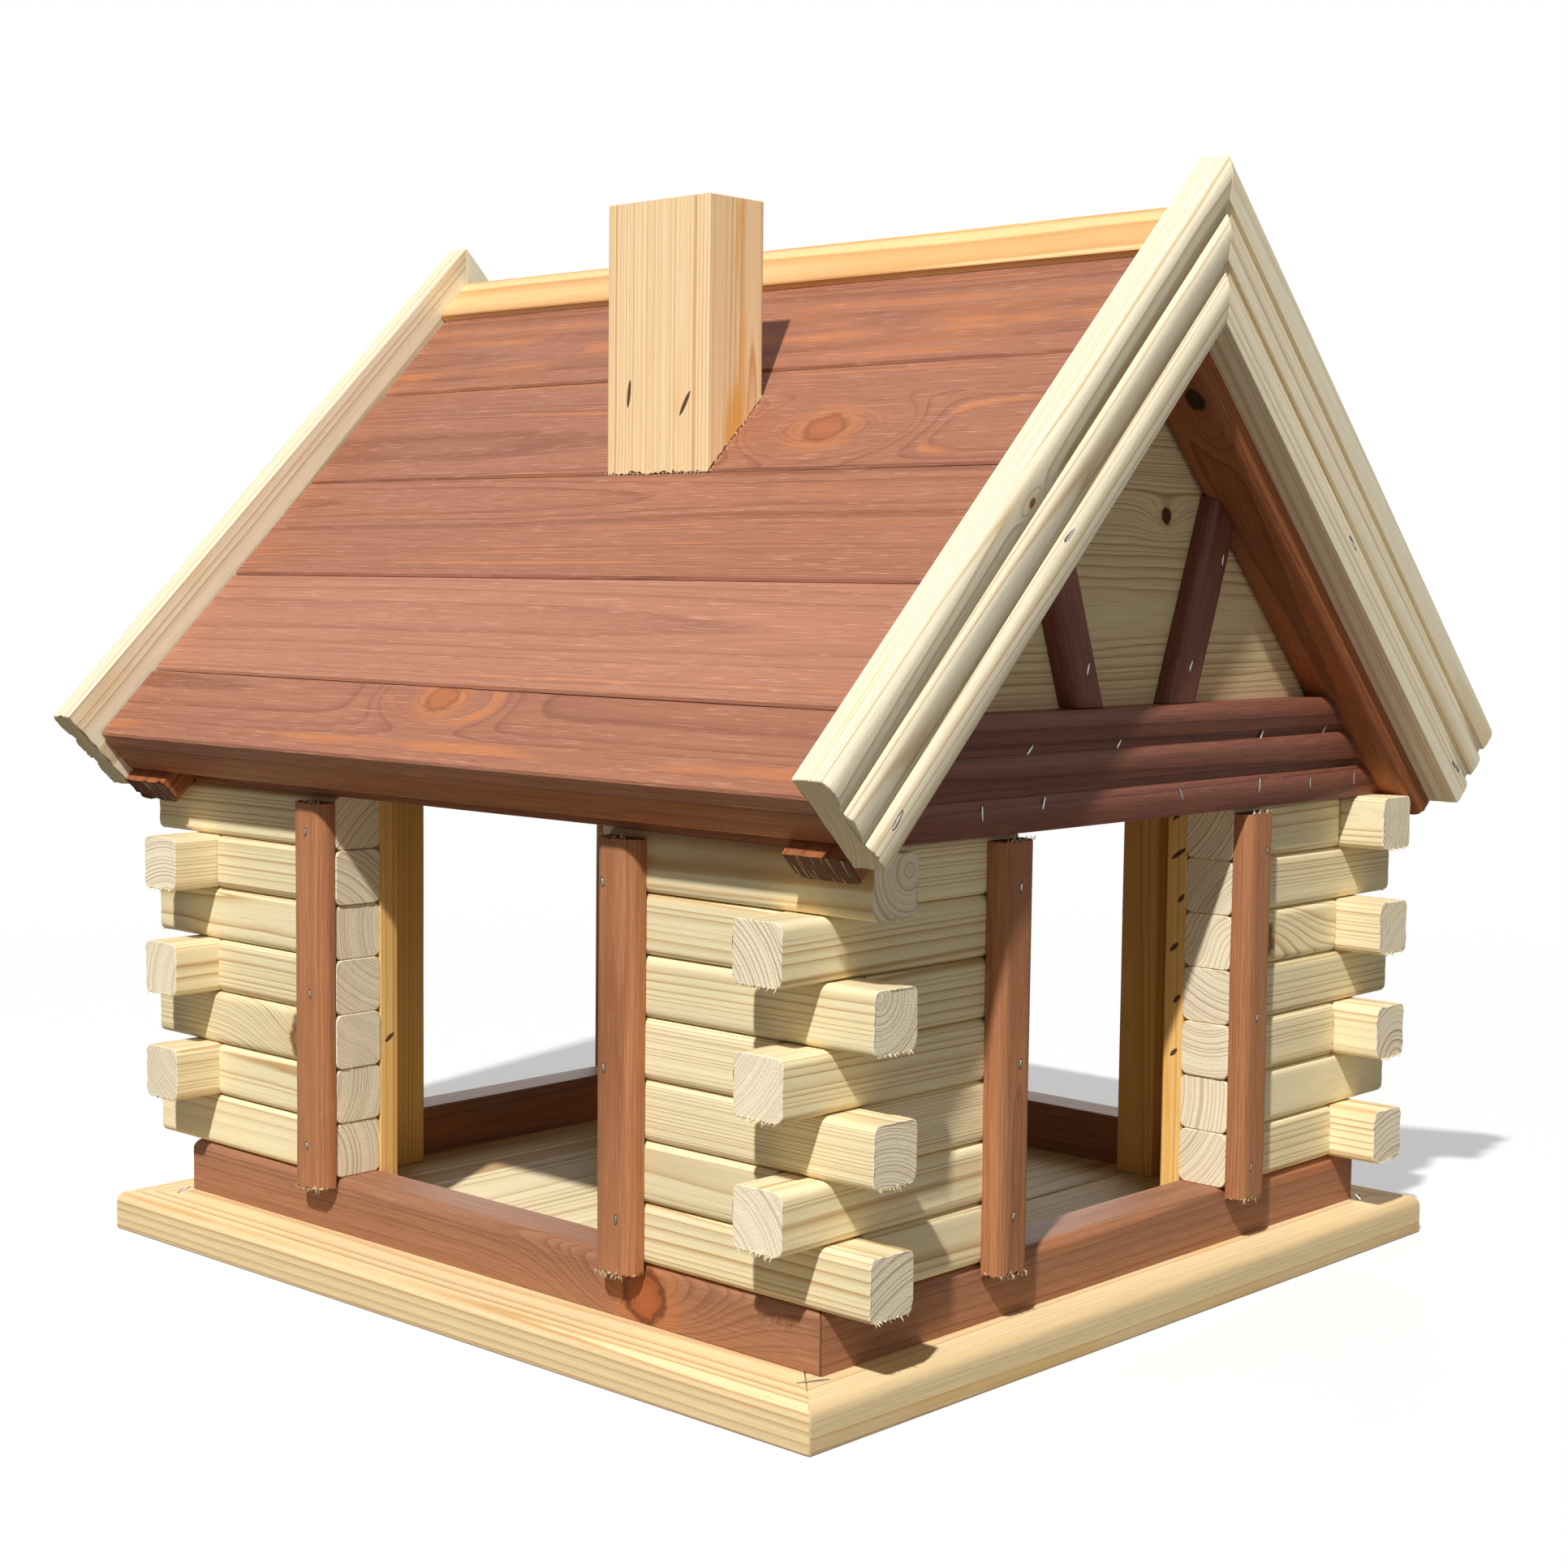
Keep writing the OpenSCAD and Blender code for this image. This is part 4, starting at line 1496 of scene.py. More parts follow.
@dataclass
class Rafters:
    """Stained rafters outside the gable panels, with a rebate for the eave lath."""

    cabin: Cabin
    round_edge: float = 4.0
    tail: float = 11.5

    def build(self, shop: Workshop) -> None:
        """Makes the four rafters and the two eave laths."""
        c = self.cabin
        round_edge, sharp = self.round_edge, 0.4
        radii = (round_edge, round_edge, sharp, sharp)
        section = oblong((c.gable_face, 0), (c.rafter_face, c.rafter_deep), radii)
        notch = (c.eave_line - c.eave_lath, c.rafter_deep - c.eave_lath)
        end = Cut(c.wall_line + self.tail)
        for i, (corner, (side_x, side_y)) in enumerate(CORNERS.items()):
            timber = Timber(f"rafter.{corner}", 400 + i)
            board = bar(section, c.mitre, end, timber.rng, sway=0.06, torn=(0.05, 0.3), notch=notch)
            knot = Knot(21.0, 195.0, 0.0, 3.6) if corner == "back_right" else None
            timber.put(c.down_slope(side_y).turned(side_x, 1), board, pith=(190.0, 48.0), knot=knot)
            shop.deliver(timber.piece(), Finish.STAINED_DARK, f"rafter_{corner}")
        section = oblong(notch, (c.eave_line, c.rafter_deep), (sharp, 2.0, sharp, sharp))
        for i, (name, side) in enumerate(SLOPES.items()):
            timber = Timber(f"eave_lath.{name}", 410 + i)
            board = bar(section, Cut(-c.rafter_face), Cut(c.rafter_face), timber.rng, sway=0.06)
            timber.put(c.along_ridge(side), board)
            shop.deliver(timber.piece(), Finish.STAINED_DARK, f"eave_lath_{name}")


@dataclass
class RoofCovering:
    """Five stained boards on each slope and pale strips over the ridge."""

    cabin: Cabin
    full_boards: int = 3
    board_wide: float = 58.0
    eave_board_wide: float = 38.0
    seam: float = 0.4
    bevel: float = 0.9
    end_gap: float = 1.0
    strip_wide: float = 23.0
    strip_thick: float = 3.5
    strip_bevel: float = 0.5
    # Each board's tone; the second board's 0.95 also lays the roof finish's painted sheen on it
    tones_and_sheen: tuple[float, ...] = (0.35, 0.95, 0.55, 0.30, 0.25)

    def build(self, shop: Workshop) -> None:
        """Makes the boards and the strip of both slopes."""
        c = self.cabin
        half = c.rafter_face - self.end_gap
        low, high = c.rafter_deep, c.rafter_deep + c.board_thick
        widths = [i * self.board_wide for i in range(self.full_boards + 1)]
        outers = [c.eave_line, *(c.eave_line - self.eave_board_wide - wide for wide in widths)]
        inners = [outer + self.seam for outer in outers[1:]]
        knots = {("front", 0): Knot(-6.0, 216.5, high, 6.0), ("front", 3): Knot(92.0, 72.0, high, 7.0),
                 ("back", 1): Knot(70.0, 190.0, high, 6.0), ("back", 3): Knot(-90.0, 68.0, high, 6.0)}
        sections = [self._section(inner, outer, low, high) for inner, outer in zip(inners, outers)]
        sections.append(self._mitred(outers[-1], low, high, self.bevel))
        for i, (name, side) in enumerate(SLOPES.items()):
            where = c.along_ridge(side)
            timber = Timber(f"roof.boards_{name}", 420 + i)
            for j, (outer, section) in enumerate(zip(outers, sections)):
                board = bar(section, Cut(-half), Cut(half), timber.rng, sway=0.05)
                middle = outer - self.board_wide / 2
                pith = (middle + timber.rng.uniform(-16, 16), low - timber.rng.uniform(6, 46))
                timber.put(where, board, pith=pith, knot=knots.get((name, j)), tone=self.tones_and_sheen[j])
            shop.deliver(timber.piece(), Finish.STAINED_ROOF, f"roof_boards_{name}")
            timber = Timber(f"ridge.strip_{name}", 430 + i)
            top = high + self.strip_thick
            section = self._mitred(self.strip_wide - top, high, top, self.strip_bevel)
            board = bar(section, Cut(-c.rafter_face), Cut(c.rafter_face), timber.rng, sway=0.04)
            timber.put(where, board, pith=(-24.0, 14.0 + 8 * i))
            shop.deliver(timber.piece(), Finish.RIDGE_PINE, f"ridge_strip_{name}")

    def _section(self, inner: float, outer: float, low: float, high: float) -> list[Point]:
        """The section of a board with bevelled upper edges."""
        b = self.bevel
        upper = [(outer, high - b), (outer - b, high), (inner + b, high), (inner, high - b)]
        return [(inner, low), (outer, low), *upper]

    @staticmethod
    def _mitred(outer: float, low: float, high: float, bevel: float) -> list[Point]:
        """The section of a board that meets its neighbour over the ridge."""
        return [(-low, low), (outer, low), (outer, high - bevel), (outer - bevel, high), (-high, high)]


@dataclass
class BargeBoards:
    """Pale stepped mouldings that close the ends of the roof."""

    cabin: Cabin
    moulding: Moulding
    rise: float = 15.0
    tail: float = 11.0

    def build(self, shop: Workshop) -> None:
        """Makes the four barge boards."""
        c = self.cabin
        profile = self.moulding.section(c.rafter_deep + c.board_thick + self.rise)
        section = [(c.rafter_face + x, n) for x, n in profile]
        end = Cut(c.wall_line + self.tail)
        knots = {"front_right": Knot(120.0, c.rafter_face + 13.0, 40.0, 1.4)}
        for i, (corner, (side_x, side_y)) in enumerate(CORNERS.items()):
            timber = Timber(f"barge.{corner}", 440 + i)
            board = bar(section, c.mitre, end, timber.rng, sway=0.0, torn=(0.05, 0.3))
            where = c.down_slope(side_y).turned(side_x, 1)
            pith = (c.rafter_face - 34.0 - 5 * i, 26.0 + 9 * i)
            timber.put(where, board, pith=pith, knot=knots.get(corner))
            shop.deliver(timber.piece(), Finish.BARGE_PINE, f"barge_board_{corner}")


@dataclass
class Chimney:
    """A warm pine block with its foot cut to the slope."""

    cabin: Cabin
    wide: float = 56.0
    deep: float = 30.0
    high: float = 105.0
    back: float = 62.0
    shift: float = 19.0

    def build(self, shop: Workshop) -> None:
        """Makes the block, its grain standing."""
        c = self.cabin
        roof = c.peak + (c.rafter_deep + c.board_thick) / math.cos(c.pitch)
        front = self.back + self.deep
        foot = roof - front * math.tan(c.pitch)
        where = lay((self.shift, -front, foot), Z, (-1, 0, 0), (0, -1, 0))
        half = self.wide / 2
        section = oblong((-half, -self.deep), (half, 0), (1.0, 1.0, 1.0, 1.0))
        timber = Timber("chimney.block", 460)
        start = Cut(0.0, 0.0, -math.tan(c.pitch))
        board = bar(section, start, Cut(self.high), timber.rng, sway=0.05, torn=(0.55, 0.1), step=1.2)
        timber.put(where, board, pith=(-46.0, -24.0), tone=0.55)
        shop.deliver(timber.piece(), Finish.WARM_PINE, "chimney")


@dataclass(frozen=True)
class Staple:
    """A staple's crown: the piece that it holds, where to look for it, and how it lies."""

    piece: str
    place: Triple
    facing: Triple
    heading: Triple
    long: float = 6.0
    sunk: bool = False


@dataclass(frozen=True)
class Rod:
    """The section of what the tree lays for each staple, and how far it outruns the crown."""

    wide: float
    deep: float
    spare: float


@dataclass
class Fasteners:
    """The staple crowns, each in a dark slot, laid by a Geometry Nodes tree. The slot's dark colour is
    painted shade of a sunk recess, with the burn that a staple leaves.

    Each staple is dropped on its piece from the distance lift. It is given as (y, z, lean, length) on a
    gable, as (x, z, length) on the edge of a batten and as (y, height over the slope) on a barge board.
    """

    cabin: Cabin
    lift: float = 60.0
    skew: float = 0.2
    nail: float = 3.0
    jamb_crown: float = 8.5
    crown: Rod = Rod(1.1, 0.5, 0.0)
    slot: Rod = Rod(1.9, 0.16, 1.2)
    post_heights: Triple = (174.0, 110.0, 51.0)
    beam: tuple[tuple[float, float, float, float], ...] = (
        (77.3, 219.0, 0.5, 7.5), (126.4, 220.2, 1.2, 7.0), (74.7, 200.3, 0.2, 6.0),
        (112.4, 199.3, 0.1, 5.0), (147.0, 199.8, -0.1, 6.0), (-71.7, 220.4, 0.7, 7.0),
        (-101.3, 199.9, 0.1, 6.0), (-66.3, 200.9, 0.3, 7.0), (20.0, 200.0, -0.3, 6.0),
        (-18.0, 220.0, 0.5, 6.0))
    strut: tuple[tuple[float, float, float, float], ...] = (
        (33.3, 248.0, 0.4, 5.0), (53.5, 288.7, 0.2, 5.0))
    jamb_edge: tuple[Triple, ...] = (
        (156.4, 187.0, 7.0), (156.6, 171.0, 7.0), (158.3, 153.0, 3.5), (155.5, 133.0, 4.5),
        (157.3, 112.0, 3.5), (156.4, 90.0, 3.5))
    base_mitre: Triple = (181.8, 175.4, 16.0)
    barge: tuple[Point, ...] = ((180.0, 16.0), (92.0, 18.0))

    def build(self, shop: Workshop) -> None:
        """Makes the crowns and their slots."""
        staples = [*self._posts(), *self._jambs(), *self._gables(), *self._base(), *self._roof()]
        crowned = [staple for staple in staples if not staple.sunk]
        tree = self._tree()
        kinds = (
            ("staples.crowns", Finish.STAPLE, self.crown, crowned),
            # The slots are painted shade of the sunk recesses, with the staples' burn
            ("staples.slots", Finish.SLOT_SHADE_AND_BURN, self.slot, staples))
        for name, finish, rod, shown in kinds:
            made = applied(self._host(name, shown), tree, {
                "Material": shop.finishes[finish],
                "Width": rod.wide * MM,
                "Depth": rod.deep * MM,
                "Spare": rod.spare * MM,
                "Skew": self.skew,
                "Seed": 11,
            })
            shop.deliver(made, finish)

    def _posts(self) -> Iterator[Staple]:
        """Three on each post, each nail a little off the line."""
        c = self.cabin
        rng = np.random.default_rng(500)
        for corner, (sx, sy) in CORNERS.items():
            for height in self.post_heights:
                along = c.opening_x / 2 + rng.uniform(4, 13)
                up = height + rng.uniform(-5, 5)
                heading = (rng.uniform(-0.5, 0.5), 0, 1)
                place = (sx * along, sy * c.wall_y / 2, up)
                yield Staple(f"post.long_{corner}", place, (0, sy, 0), heading, self.nail)
                along = c.opening_y / 2 + rng.uniform(6, 13)
                up = height + rng.uniform(-5, 5)
                heading = (0, rng.uniform(-0.5, 0.5), 1)
                place = (sx * c.wall_x / 2, sy * along, up)
                yield Staple(f"post.gable_{corner}", place, (sx, 0, 0), heading, self.nail)

    def _jambs(self) -> Iterator[Staple]:
        """One into every log from inside, and those whose slots show on the edge of a batten."""
        c = self.cabin
        rng = np.random.default_rng(501)
        for corner, (sx, sy) in CORNERS.items():
            for course in range(c.courses):
                up = c.sill_top + (course + 0.5) * c.log_pitch
                spots = rng.uniform(5, 14, 2)
                lean = rng.uniform(0.5, 1.4, 2)
                if corner != "back_right":
                    place = (sx * (c.opening_x / 2 + spots[0]), sy * c.inner_y, up)
                    heading = (lean[0], 0, 1)
                    yield Staple(f"jamb.long_{corner}", place, (0, -sy, 0), heading, self.jamb_crown)
                if corner != "front_left":
                    place = (sx * c.inner_x, sy * (c.opening_y / 2 + spots[1]), up)
                    heading = (0, lean[1], 1)
                    yield Staple(f"jamb.gable_{corner}", place, (-sx, 0, 0), heading, self.jamb_crown)
        place = (-c.opening_x / 2, 4.5 - c.inner_y, 92.0)
        yield Staple("jamb.long_front_left", place, (1, 0, 0), (0, 1, 1), 4.5, sunk=True)
        for x, z, long in self.jamb_edge:
            place = (x, c.opening_y / 2, z)
            yield Staple("jamb.gable_back_right", place, (0, -1, 0), (1.2, 0, 1), long, sunk=True)

    def _gables(self) -> Iterator[Staple]:
        """Those of the beams and the struts."""
        face = self.cabin.gable_face
        for name, side in GABLES.items():
            facing = (side, 0, 0)
            for y, z, lean, long in self.beam:
                yield Staple(f"gable.beam_{name}", (side * face, y, z), facing, (0, lean, 1), long)
            for row, sign in SLOPES.items():
                for y, z, lean, long in self.strut:
                    place = (side * face, sign * y, z)
                    yield Staple(f"gable.strut_{row}_{name}", place, facing, (0, lean, 1), long)

    def _base(self) -> Iterator[Staple]:
        """Those over the mitres of the base."""
        x, y, z = self.base_mitre
        for sx, sy in CORNERS.values():
            turn = 0.62 if sx > 0 else 0.72
            side = "left" if sx < 0 else "right"
            place = (sx * x, sy * y, z)
            yield Staple(f"base.board_{side}", place, (0, 0, 1), (sx * turn, -sy, 0), 11.5)

    def _roof(self) -> Iterator[Staple]:
        """Those of the chimney and the barge boards."""
        for place, heading in (
                ((3.4, -92.0, 351.0), (-0.30, 0, -1)),
                ((34.4, -92.0, 346.2), (-0.55, 0, -1))):
            yield Staple("chimney.block", place, (0, -1, 0), heading, 10.0, sunk=True)
        c = self.cabin
        for corner, (sx, sy) in CORNERS.items():
            for y, rise in self.barge:
                place = (sx * c.rafter_face, sy * y, c.peak - y + rise * math.sqrt(2))
                yield Staple(f"barge.{corner}", place, (sx, 0, 0), (0, sy, -1), 7.5)

    def _host(self, name: str, staples: Sequence[Staple]) -> bpy.types.Object:
        """Puts one point for each staple on the face of its piece.

        Args:
            name: The name of the new piece.
            staples: The staples.

        Returns:
            An object of loose points that carry how each staple lies.
        """
        made = bpy.data.meshes.new(name)
        made.from_pydata([self._landed(staple)[:] for staple in staples], [], [])
        write_attribute(made, "facing", np.array([staple.facing for staple in staples], float))
        write_attribute(made, "heading", np.array([staple.heading for staple in staples], float))
        write_attribute(made, "long", np.array([staple.long * MM for staple in staples]))
        return put_in_scene(name, made)

    def _landed(self, staple: Staple) -> Vector:
        """Drops a staple from outside on the face of its piece."""
        outward = Vector(staple.facing).normalized()
        start = Vector(staple.place) * MM + outward * self.lift * MM
        tree = BVHTree.FromObject(bpy.data.objects[staple.piece], bpy.context.evaluated_depsgraph_get())
        hit = tree.ray_cast(start, -outward, 2.5 * self.lift * MM)[0]
        if hit is None:
            LOG.warning("No face below the staple of %s at %s", staple.piece, staple.place)
            return Vector(staple.place) * MM
        return hit

    @staticmethod
    def _tree() -> bpy.types.NodeTree:
        """Builds the tree that puts a short bar on every point.

        Returns:
            The tree.
        """
        tree, graph, given = geometry_tree("staple crowns", {
            "Width": ("Float", 0.001), "Depth": ("Float", 0.0005), "Spare": ("Float", 0.0),
            "Skew": ("Float", 0.1), "Seed": ("Int", 0)})
        attributes = {
            name: graph.out("GeometryNodeInputNamedAttribute", {"data_type": kind}, {"Name": name})
            for name, kind in (("facing", "FLOAT_VECTOR"), ("heading", "FLOAT_VECTOR"), ("long", "FLOAT"))}
        turn = graph.out(
            "FunctionNodeAxesToRotation", {"primary_axis": "Z", "secondary_axis": "X"},
            {"Primary Axis": attributes["facing"], "Secondary Axis": attributes["heading"]})
        size = graph.out("ShaderNodeCombineXYZ", {}, {
            0: attributes["long"] + given["Spare"], 1: given["Width"], 2: given["Depth"]})
        rod = graph.out("GeometryNodeMeshIcoSphere", {}, {"Radius": 0.5, "Subdivisions": 2})
        laid = graph.out("GeometryNodeInstanceOnPoints", {}, {
            "Points": given["Geometry"], "Instance": rod, "Rotation": turn, "Scale": size})
        index = graph.out("GeometryNodeInputIndex")
        limits = {2: -1.0, 3: 1.0, "ID": index, "Seed": given["Seed"]}
        chance = graph.out("FunctionNodeRandomValue", {"data_type": "FLOAT"}, limits, 1)
        twist = graph.out("ShaderNodeCombineXYZ", {}, {2: chance * given["Skew"]})
        laid = graph.out("GeometryNodeRotateInstances", {}, {"Instances": laid, "Rotation": twist})
        finish_tree(graph, laid, given["Material"])
        return tree


@dataclass(frozen=True)
class Fray:
    """How an edge is torn: the gap between its fibres, and how long and wide they are at most."""

    gap: float
    long: float
    wide: float


@dataclass
class Splinters:
    """Torn fibres on the lower edges of sawn ends, scattered by a Geometry Nodes tree."""

    cabin: Cabin
    logs: Fray = Fray(0.9, 2.4, 0.42)
    posts: Fray = Fray(0.8, 2.4, 0.30)
    chimney: Fray = Fray(0.8, 1.7, 0.28)
    inset: float = 0.5
    post_in: float = 2.0
    post_run: float = 14.0
    post_inset: float = 0.8
    foot_drop: float = 3.7
    head_drop: float = 2.7

    def build(self, shop: Workshop) -> None:
        """Makes the splinters of the log ends, of the post feet and of the chimney's foot."""
        tree = self._tree()
        kinds = (
            ("splinters.logs", self._log_edges(), self.logs),
            ("splinters.posts", self._post_edges(), self.posts),
            ("splinters.chimney", self._chimney_edges(), self.chimney))
        for i, (name, edges, fray) in enumerate(kinds):
            made = applied(self._host(name, edges), tree, {
                "Material": shop.finishes[Finish.TORN],
                "Gap": fray.gap * MM,
                "Long": fray.long * MM,
                "Wide": fray.wide * MM,
                "Seed": 20 + i,
            })
            shop.deliver(made, Finish.TORN)

    def _log_edges(self) -> Iterator[Edge]:
        """The lower edges of every log's outer end: two points and the way the fibres point."""
        c = self.cabin
        inner = c.log_round
        for sx, sy in CORNERS.values():
            for course in range(c.courses):
                low = c.sill_top + course * c.log_pitch + self.inset
                if course % 2 == 0:
                    x = sx * (c.wall_x / 2 + c.nose - self.inset)
                    spots = [(x, sy * y) for y in (c.inner_y + inner, c.wall_y / 2 - inner)]
                    way = Vector((sx, 0, -0.8))
                else:
                    y = sy * (c.wall_y / 2 + c.nose - self.inset)
                    spots = [(sx * x, y) for x in (c.inner_x + inner, c.wall_x / 2 - inner)]
                    way = Vector((0, sy, -0.8))
                start, end = (Vector((*spot, low)) for spot in spots)
                yield start, end, way

    def _post_edges(self) -> Iterator[Edge]:
        """The outer edges of the posts' feet and heads."""
        c = self.cabin
        run, face = self.post_run, c.post_thick - self.post_inset
        levels = ((c.sill_top - self.foot_drop, -1.0), (c.wall_top - self.head_drop, 1.0))
        for sx, sy in CORNERS.values():
            for level, up in levels:
                x, y = c.opening_x / 2 + self.post_in, c.wall_y / 2 + face
                start, end = Vector((sx * x, sy * y, level)), Vector((sx * (x + run), sy * y, level))
                yield start, end, Vector((0, sy * 0.15, up))
                x, y = c.wall_x / 2 + face, c.opening_y / 2 + self.post_in
                start, end = Vector((sx * x, sy * y, level)), Vector((sx * x, sy * (y + run), level))
                yield start, end, Vector((sx * 0.15, 0, up))

    def _chimney_edges(self) -> Iterator[Edge]:
        """The lower edges of the chimney's front and of its two sides."""
        c = self.cabin
        made = Chimney(c)
        roof = c.peak + (c.rafter_deep + c.board_thick) / math.cos(c.pitch) + 0.6
        front, back = made.back + made.deep, made.back
        left, right = made.shift - made.wide / 2, made.shift + made.wide / 2
        plan = ((left, back), (left, front), (right, front), (right, back))
        corners = [Vector((x, -y, roof - y * math.tan(c.pitch))) for x, y in plan]
        for start, end, way in zip(corners, corners[1:], ((-0.5, 0, -1), (0, -0.7, -1), (0.5, 0, -1))):
            yield start, end, Vector(way)

    @staticmethod
    def _host(name: str, edges: Iterator[Edge]) -> bpy.types.Object:
        """Draws the edges as loose lines that know which way their fibres point."""
        points: list[Sequence[float]] = []
        ways: list[Sequence[float]] = []
        for start, end, way in edges:
            points += [(start * MM)[:], (end * MM)[:]]
            ways += [way[:], way[:]]
        made = bpy.data.meshes.new(name)
        made.from_pydata(points, [(i, i + 1) for i in range(0, len(points), 2)], [])
        write_attribute(made, "way", np.array(ways))
        return put_in_scene(name, made)

    @staticmethod
    def _tree() -> bpy.types.NodeTree:
        """Builds the tree that scatters thin cones along lines.

        Returns:
            The tree.
        """
        tree, graph, given = geometry_tree("splinters", {
            "Gap": ("Float", 0.001), "Long": ("Float", 0.002), "Wide": ("Float", 0.0003),
            "Seed": ("Int", 0)})
        line = graph.out("GeometryNodeMeshToCurve", {}, {"Mesh": given["Geometry"]})
        sockets = {"Curve": line, "Length": given["Gap"]}
        dots = graph.out("GeometryNodeCurveToPoints", {"mode": "LENGTH"}, sockets)
        index = graph.out("GeometryNodeInputIndex")

        def chance(low: Sequence[float], high: Sequence[float], offset: int) -> Wire:
            """A chance vector for each splinter."""
            return graph.out(
                "FunctionNodeRandomValue", {"data_type": "FLOAT_VECTOR"},
                {0: low, 1: high, "ID": index, "Seed": given["Seed"] + offset})

        jitter = chance((-0.0008, -0.0008, -0.0003), (0.0008, 0.0008, 0.0003), 1)
        dots = graph.out("GeometryNodeSetPosition", {}, {"Geometry": dots, "Offset": jitter})
        way = graph.out("GeometryNodeInputNamedAttribute", {"data_type": "FLOAT_VECTOR"}, {"Name": "way"})
        aim = way + chance((-0.55, -0.55, -0.35), (0.55, 0.55, 0.35), 2)
        turn = graph.out("FunctionNodeAlignRotationToVector", {"axis": "Z"}, {"Vector": aim})
        blade = graph.out("GeometryNodeMeshCone", {}, {
            "Vertices": 4, "Radius Top": 0.1, "Radius Bottom": 1.0, "Depth": 1.0})
        size = graph.out("ShaderNodeCombineXYZ", {}, {0: given["Wide"], 1: given["Wide"], 2: given["Long"]})
        scale = size * chance((0.5, 0.5, 0.1), (1.0, 1.0, 1.0), 3)
        laid = graph.out("GeometryNodeInstanceOnPoints", {}, {
            "Points": dots, "Instance": blade, "Rotation": turn, "Scale": scale})
        finish_tree(graph, laid, given["Material"])
        return tree


@dataclass(frozen=True)
class Lamp:
    """A square soft box that looks at the middle of the feeder, in metres and watts."""

    name: str
    place: Triple
    size: float
    power: float


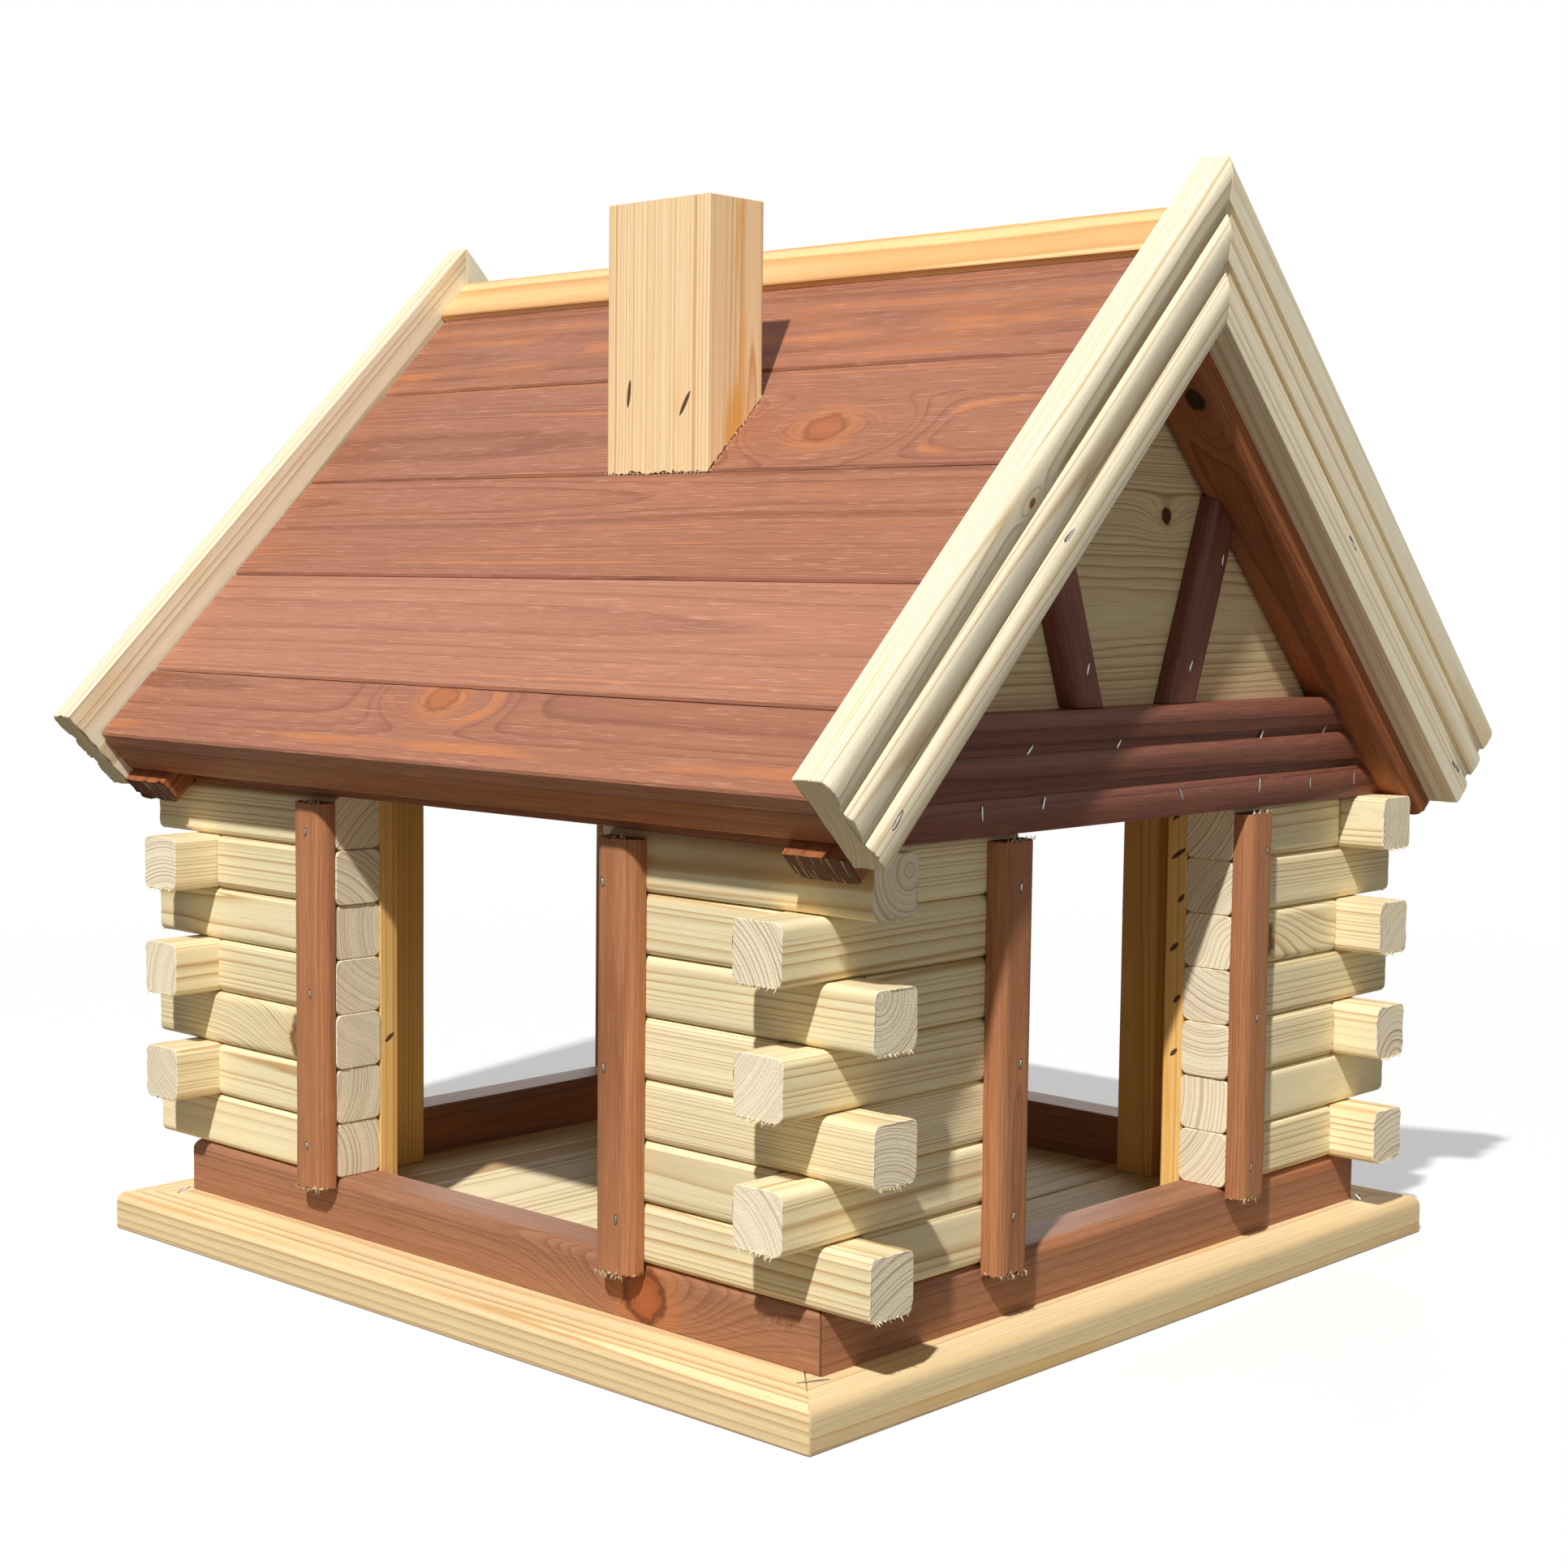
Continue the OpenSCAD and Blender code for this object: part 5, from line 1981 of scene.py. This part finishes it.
@dataclass
class Studio:
    """A plain pale floor, soft light and a camera at the photograph's angle, in metres."""

    eye: Triple = (0.7224, -0.7771, 0.2805)
    yaw: float = math.radians(42.78)
    pitch: float = math.radians(-4.73)
    roll: float = math.radians(0.65)
    lens: float = 57.61
    sensor: float = 36.0
    floor_size: float = 30.0
    room_light: float = 0.11
    middle: Triple = (0.0, 0.0, 0.2)
    lamps: tuple[Lamp, ...] = (
        Lamp("key light", (2.344, -4.800, 6.160), 0.22, 771.0),
        Lamp("side light", (2.9, -0.9, 0.9), 1.4, 5.0),
        Lamp("back light", (-2.2, 2.4, 1.7), 1.8, 26.0))

    def build(self) -> None:
        """Sets the scene up."""
        self._camera()
        self._floor()
        self._world()
        for lamp in self.lamps:
            self._light(lamp)
        bpy.context.scene.view_settings.view_transform = "Standard"

    def _camera(self) -> None:
        """Puts the camera where the photographer's stood."""
        data = bpy.data.cameras.new("camera")
        data.sensor_fit = "HORIZONTAL"
        data.sensor_width = self.sensor
        data.lens = self.lens
        data.clip_start = 0.02
        data.clip_end = 60.0
        made = put_in_scene("camera", data)
        ahead, left = math.cos(self.yaw), -math.sin(self.yaw)
        fall = math.cos(self.pitch)
        forward = Vector((left * fall, ahead * fall, math.sin(self.pitch)))
        level = Vector((ahead, -left, 0))
        up = level.cross(forward)
        right = level * math.cos(self.roll) + up * math.sin(self.roll)
        up = right.cross(forward)
        turn = Matrix((right, up, -forward)).transposed()
        made.matrix_world = Matrix.Translation(self.eye) @ turn.to_4x4()
        bpy.context.scene.camera = made

    def _floor(self) -> None:
        """Lays a pale floor that keeps the shadow, turns white far away and throws little light back."""
        half = self.floor_size / 2
        data = bpy.data.meshes.new("floor")
        corners = [(-half, -half, 0), (half, -half, 0), (half, half, 0), (-half, half, 0)]
        data.from_pydata(corners, [], [(0, 1, 2, 3)])
        made = put_in_scene("studio_floor", data)
        paper, graph = new_material("floor paper")
        place = graph.out("ShaderNodeTexCoord", {}, {}, "Object")
        grain = graph.noise(place, (60.0, 60.0, 60.0))
        seen = Wire(graph, graph.add("ShaderNodeLightPath").outputs["Is Camera Ray"])
        pale = graph.mix(grain, srgb(246, 246, 245), srgb(250, 250, 249))
        grey = graph.mix(grain, srgb(116, 113, 108), srgb(122, 119, 114))
        bright = graph.add("ShaderNodeBsdfPrincipled", {}, {"Base Color": pale, "Roughness": 0.9})
        muted = graph.add("ShaderNodeBsdfPrincipled", {}, {"Base Color": grey, "Roughness": 0.9})
        glow = graph.add("ShaderNodeEmission", {}, {"Color": (1, 1, 1, 1), "Strength": 1.0})
        shown = graph.shaders(place.length().ramp(0.45, 1.2) * 0.6 + 0.4, bright, glow)
        graph.finish(graph.shaders(seen, muted, shown))
        data.materials.append(paper)

    def _world(self) -> None:
        """Fills the room with plain light; the camera and mirrors see it white."""
        world = bpy.data.worlds.new("studio")
        world.use_nodes = True
        bpy.context.scene.world = world
        graph = Graph(world.node_tree)
        rays = graph.add("ShaderNodeLightPath")
        kinds = ("Is Camera Ray", "Is Glossy Ray", "Is Transmission Ray")
        camera, glossy, through = (Wire(graph, rays.outputs[kind]) for kind in kinds)
        mirrored = graph.out("ShaderNodeMath", {"operation": "MAXIMUM"}, {0: glossy, 1: through})
        seen = graph.out("ShaderNodeMath", {"operation": "MAXIMUM"}, {0: camera, 1: mirrored})
        white = (1, 1, 1, 1)
        dim = graph.add("ShaderNodeBackground", {}, {"Color": white, "Strength": self.room_light})
        full = graph.add("ShaderNodeBackground", {}, {"Color": white, "Strength": 1.0})
        graph.finish(graph.shaders(seen, dim, full), "ShaderNodeOutputWorld")

    def _light(self, lamp: Lamp) -> None:
        """Hangs a lamp up and turns it to the middle of the feeder."""
        data = bpy.data.lights.new(lamp.name, "AREA")
        data.shape = "SQUARE"
        data.size = lamp.size
        data.energy = lamp.power
        made = put_in_scene(lamp.name, data)
        turn = (Vector(self.middle) - Vector(lamp.place)).to_track_quat("-Z", "Y").to_matrix()
        made.matrix_world = Matrix.Translation(lamp.place) @ turn.to_4x4()


def main() -> None:
    """Builds the feeder piece by piece and sets the studio up."""
    logging.basicConfig(level=logging.INFO, format="%(message)s")
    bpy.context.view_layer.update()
    shop = Workshop()
    cabin = Cabin()
    moulding = Moulding(wide=cabin.mould_wide)
    Studio().build()
    assemblies = (
        BaseFrame(cabin),
        Floor(cabin),
        Sill(cabin),
        CornerStacks(cabin),
        Posts(cabin),
        WallPlates(cabin),
        Gables(cabin, moulding),
        Rafters(cabin),
        RoofCovering(cabin),
        BargeBoards(cabin, moulding),
        Chimney(cabin),
        Fasteners(cabin),
        Splinters(cabin),
    )
    for assembly in assemblies:
        assembly.build(shop)
        LOG.info("%s is done, %d pieces so far", type(assembly).__name__, shop.count)


if __name__ == "__main__":
    main()
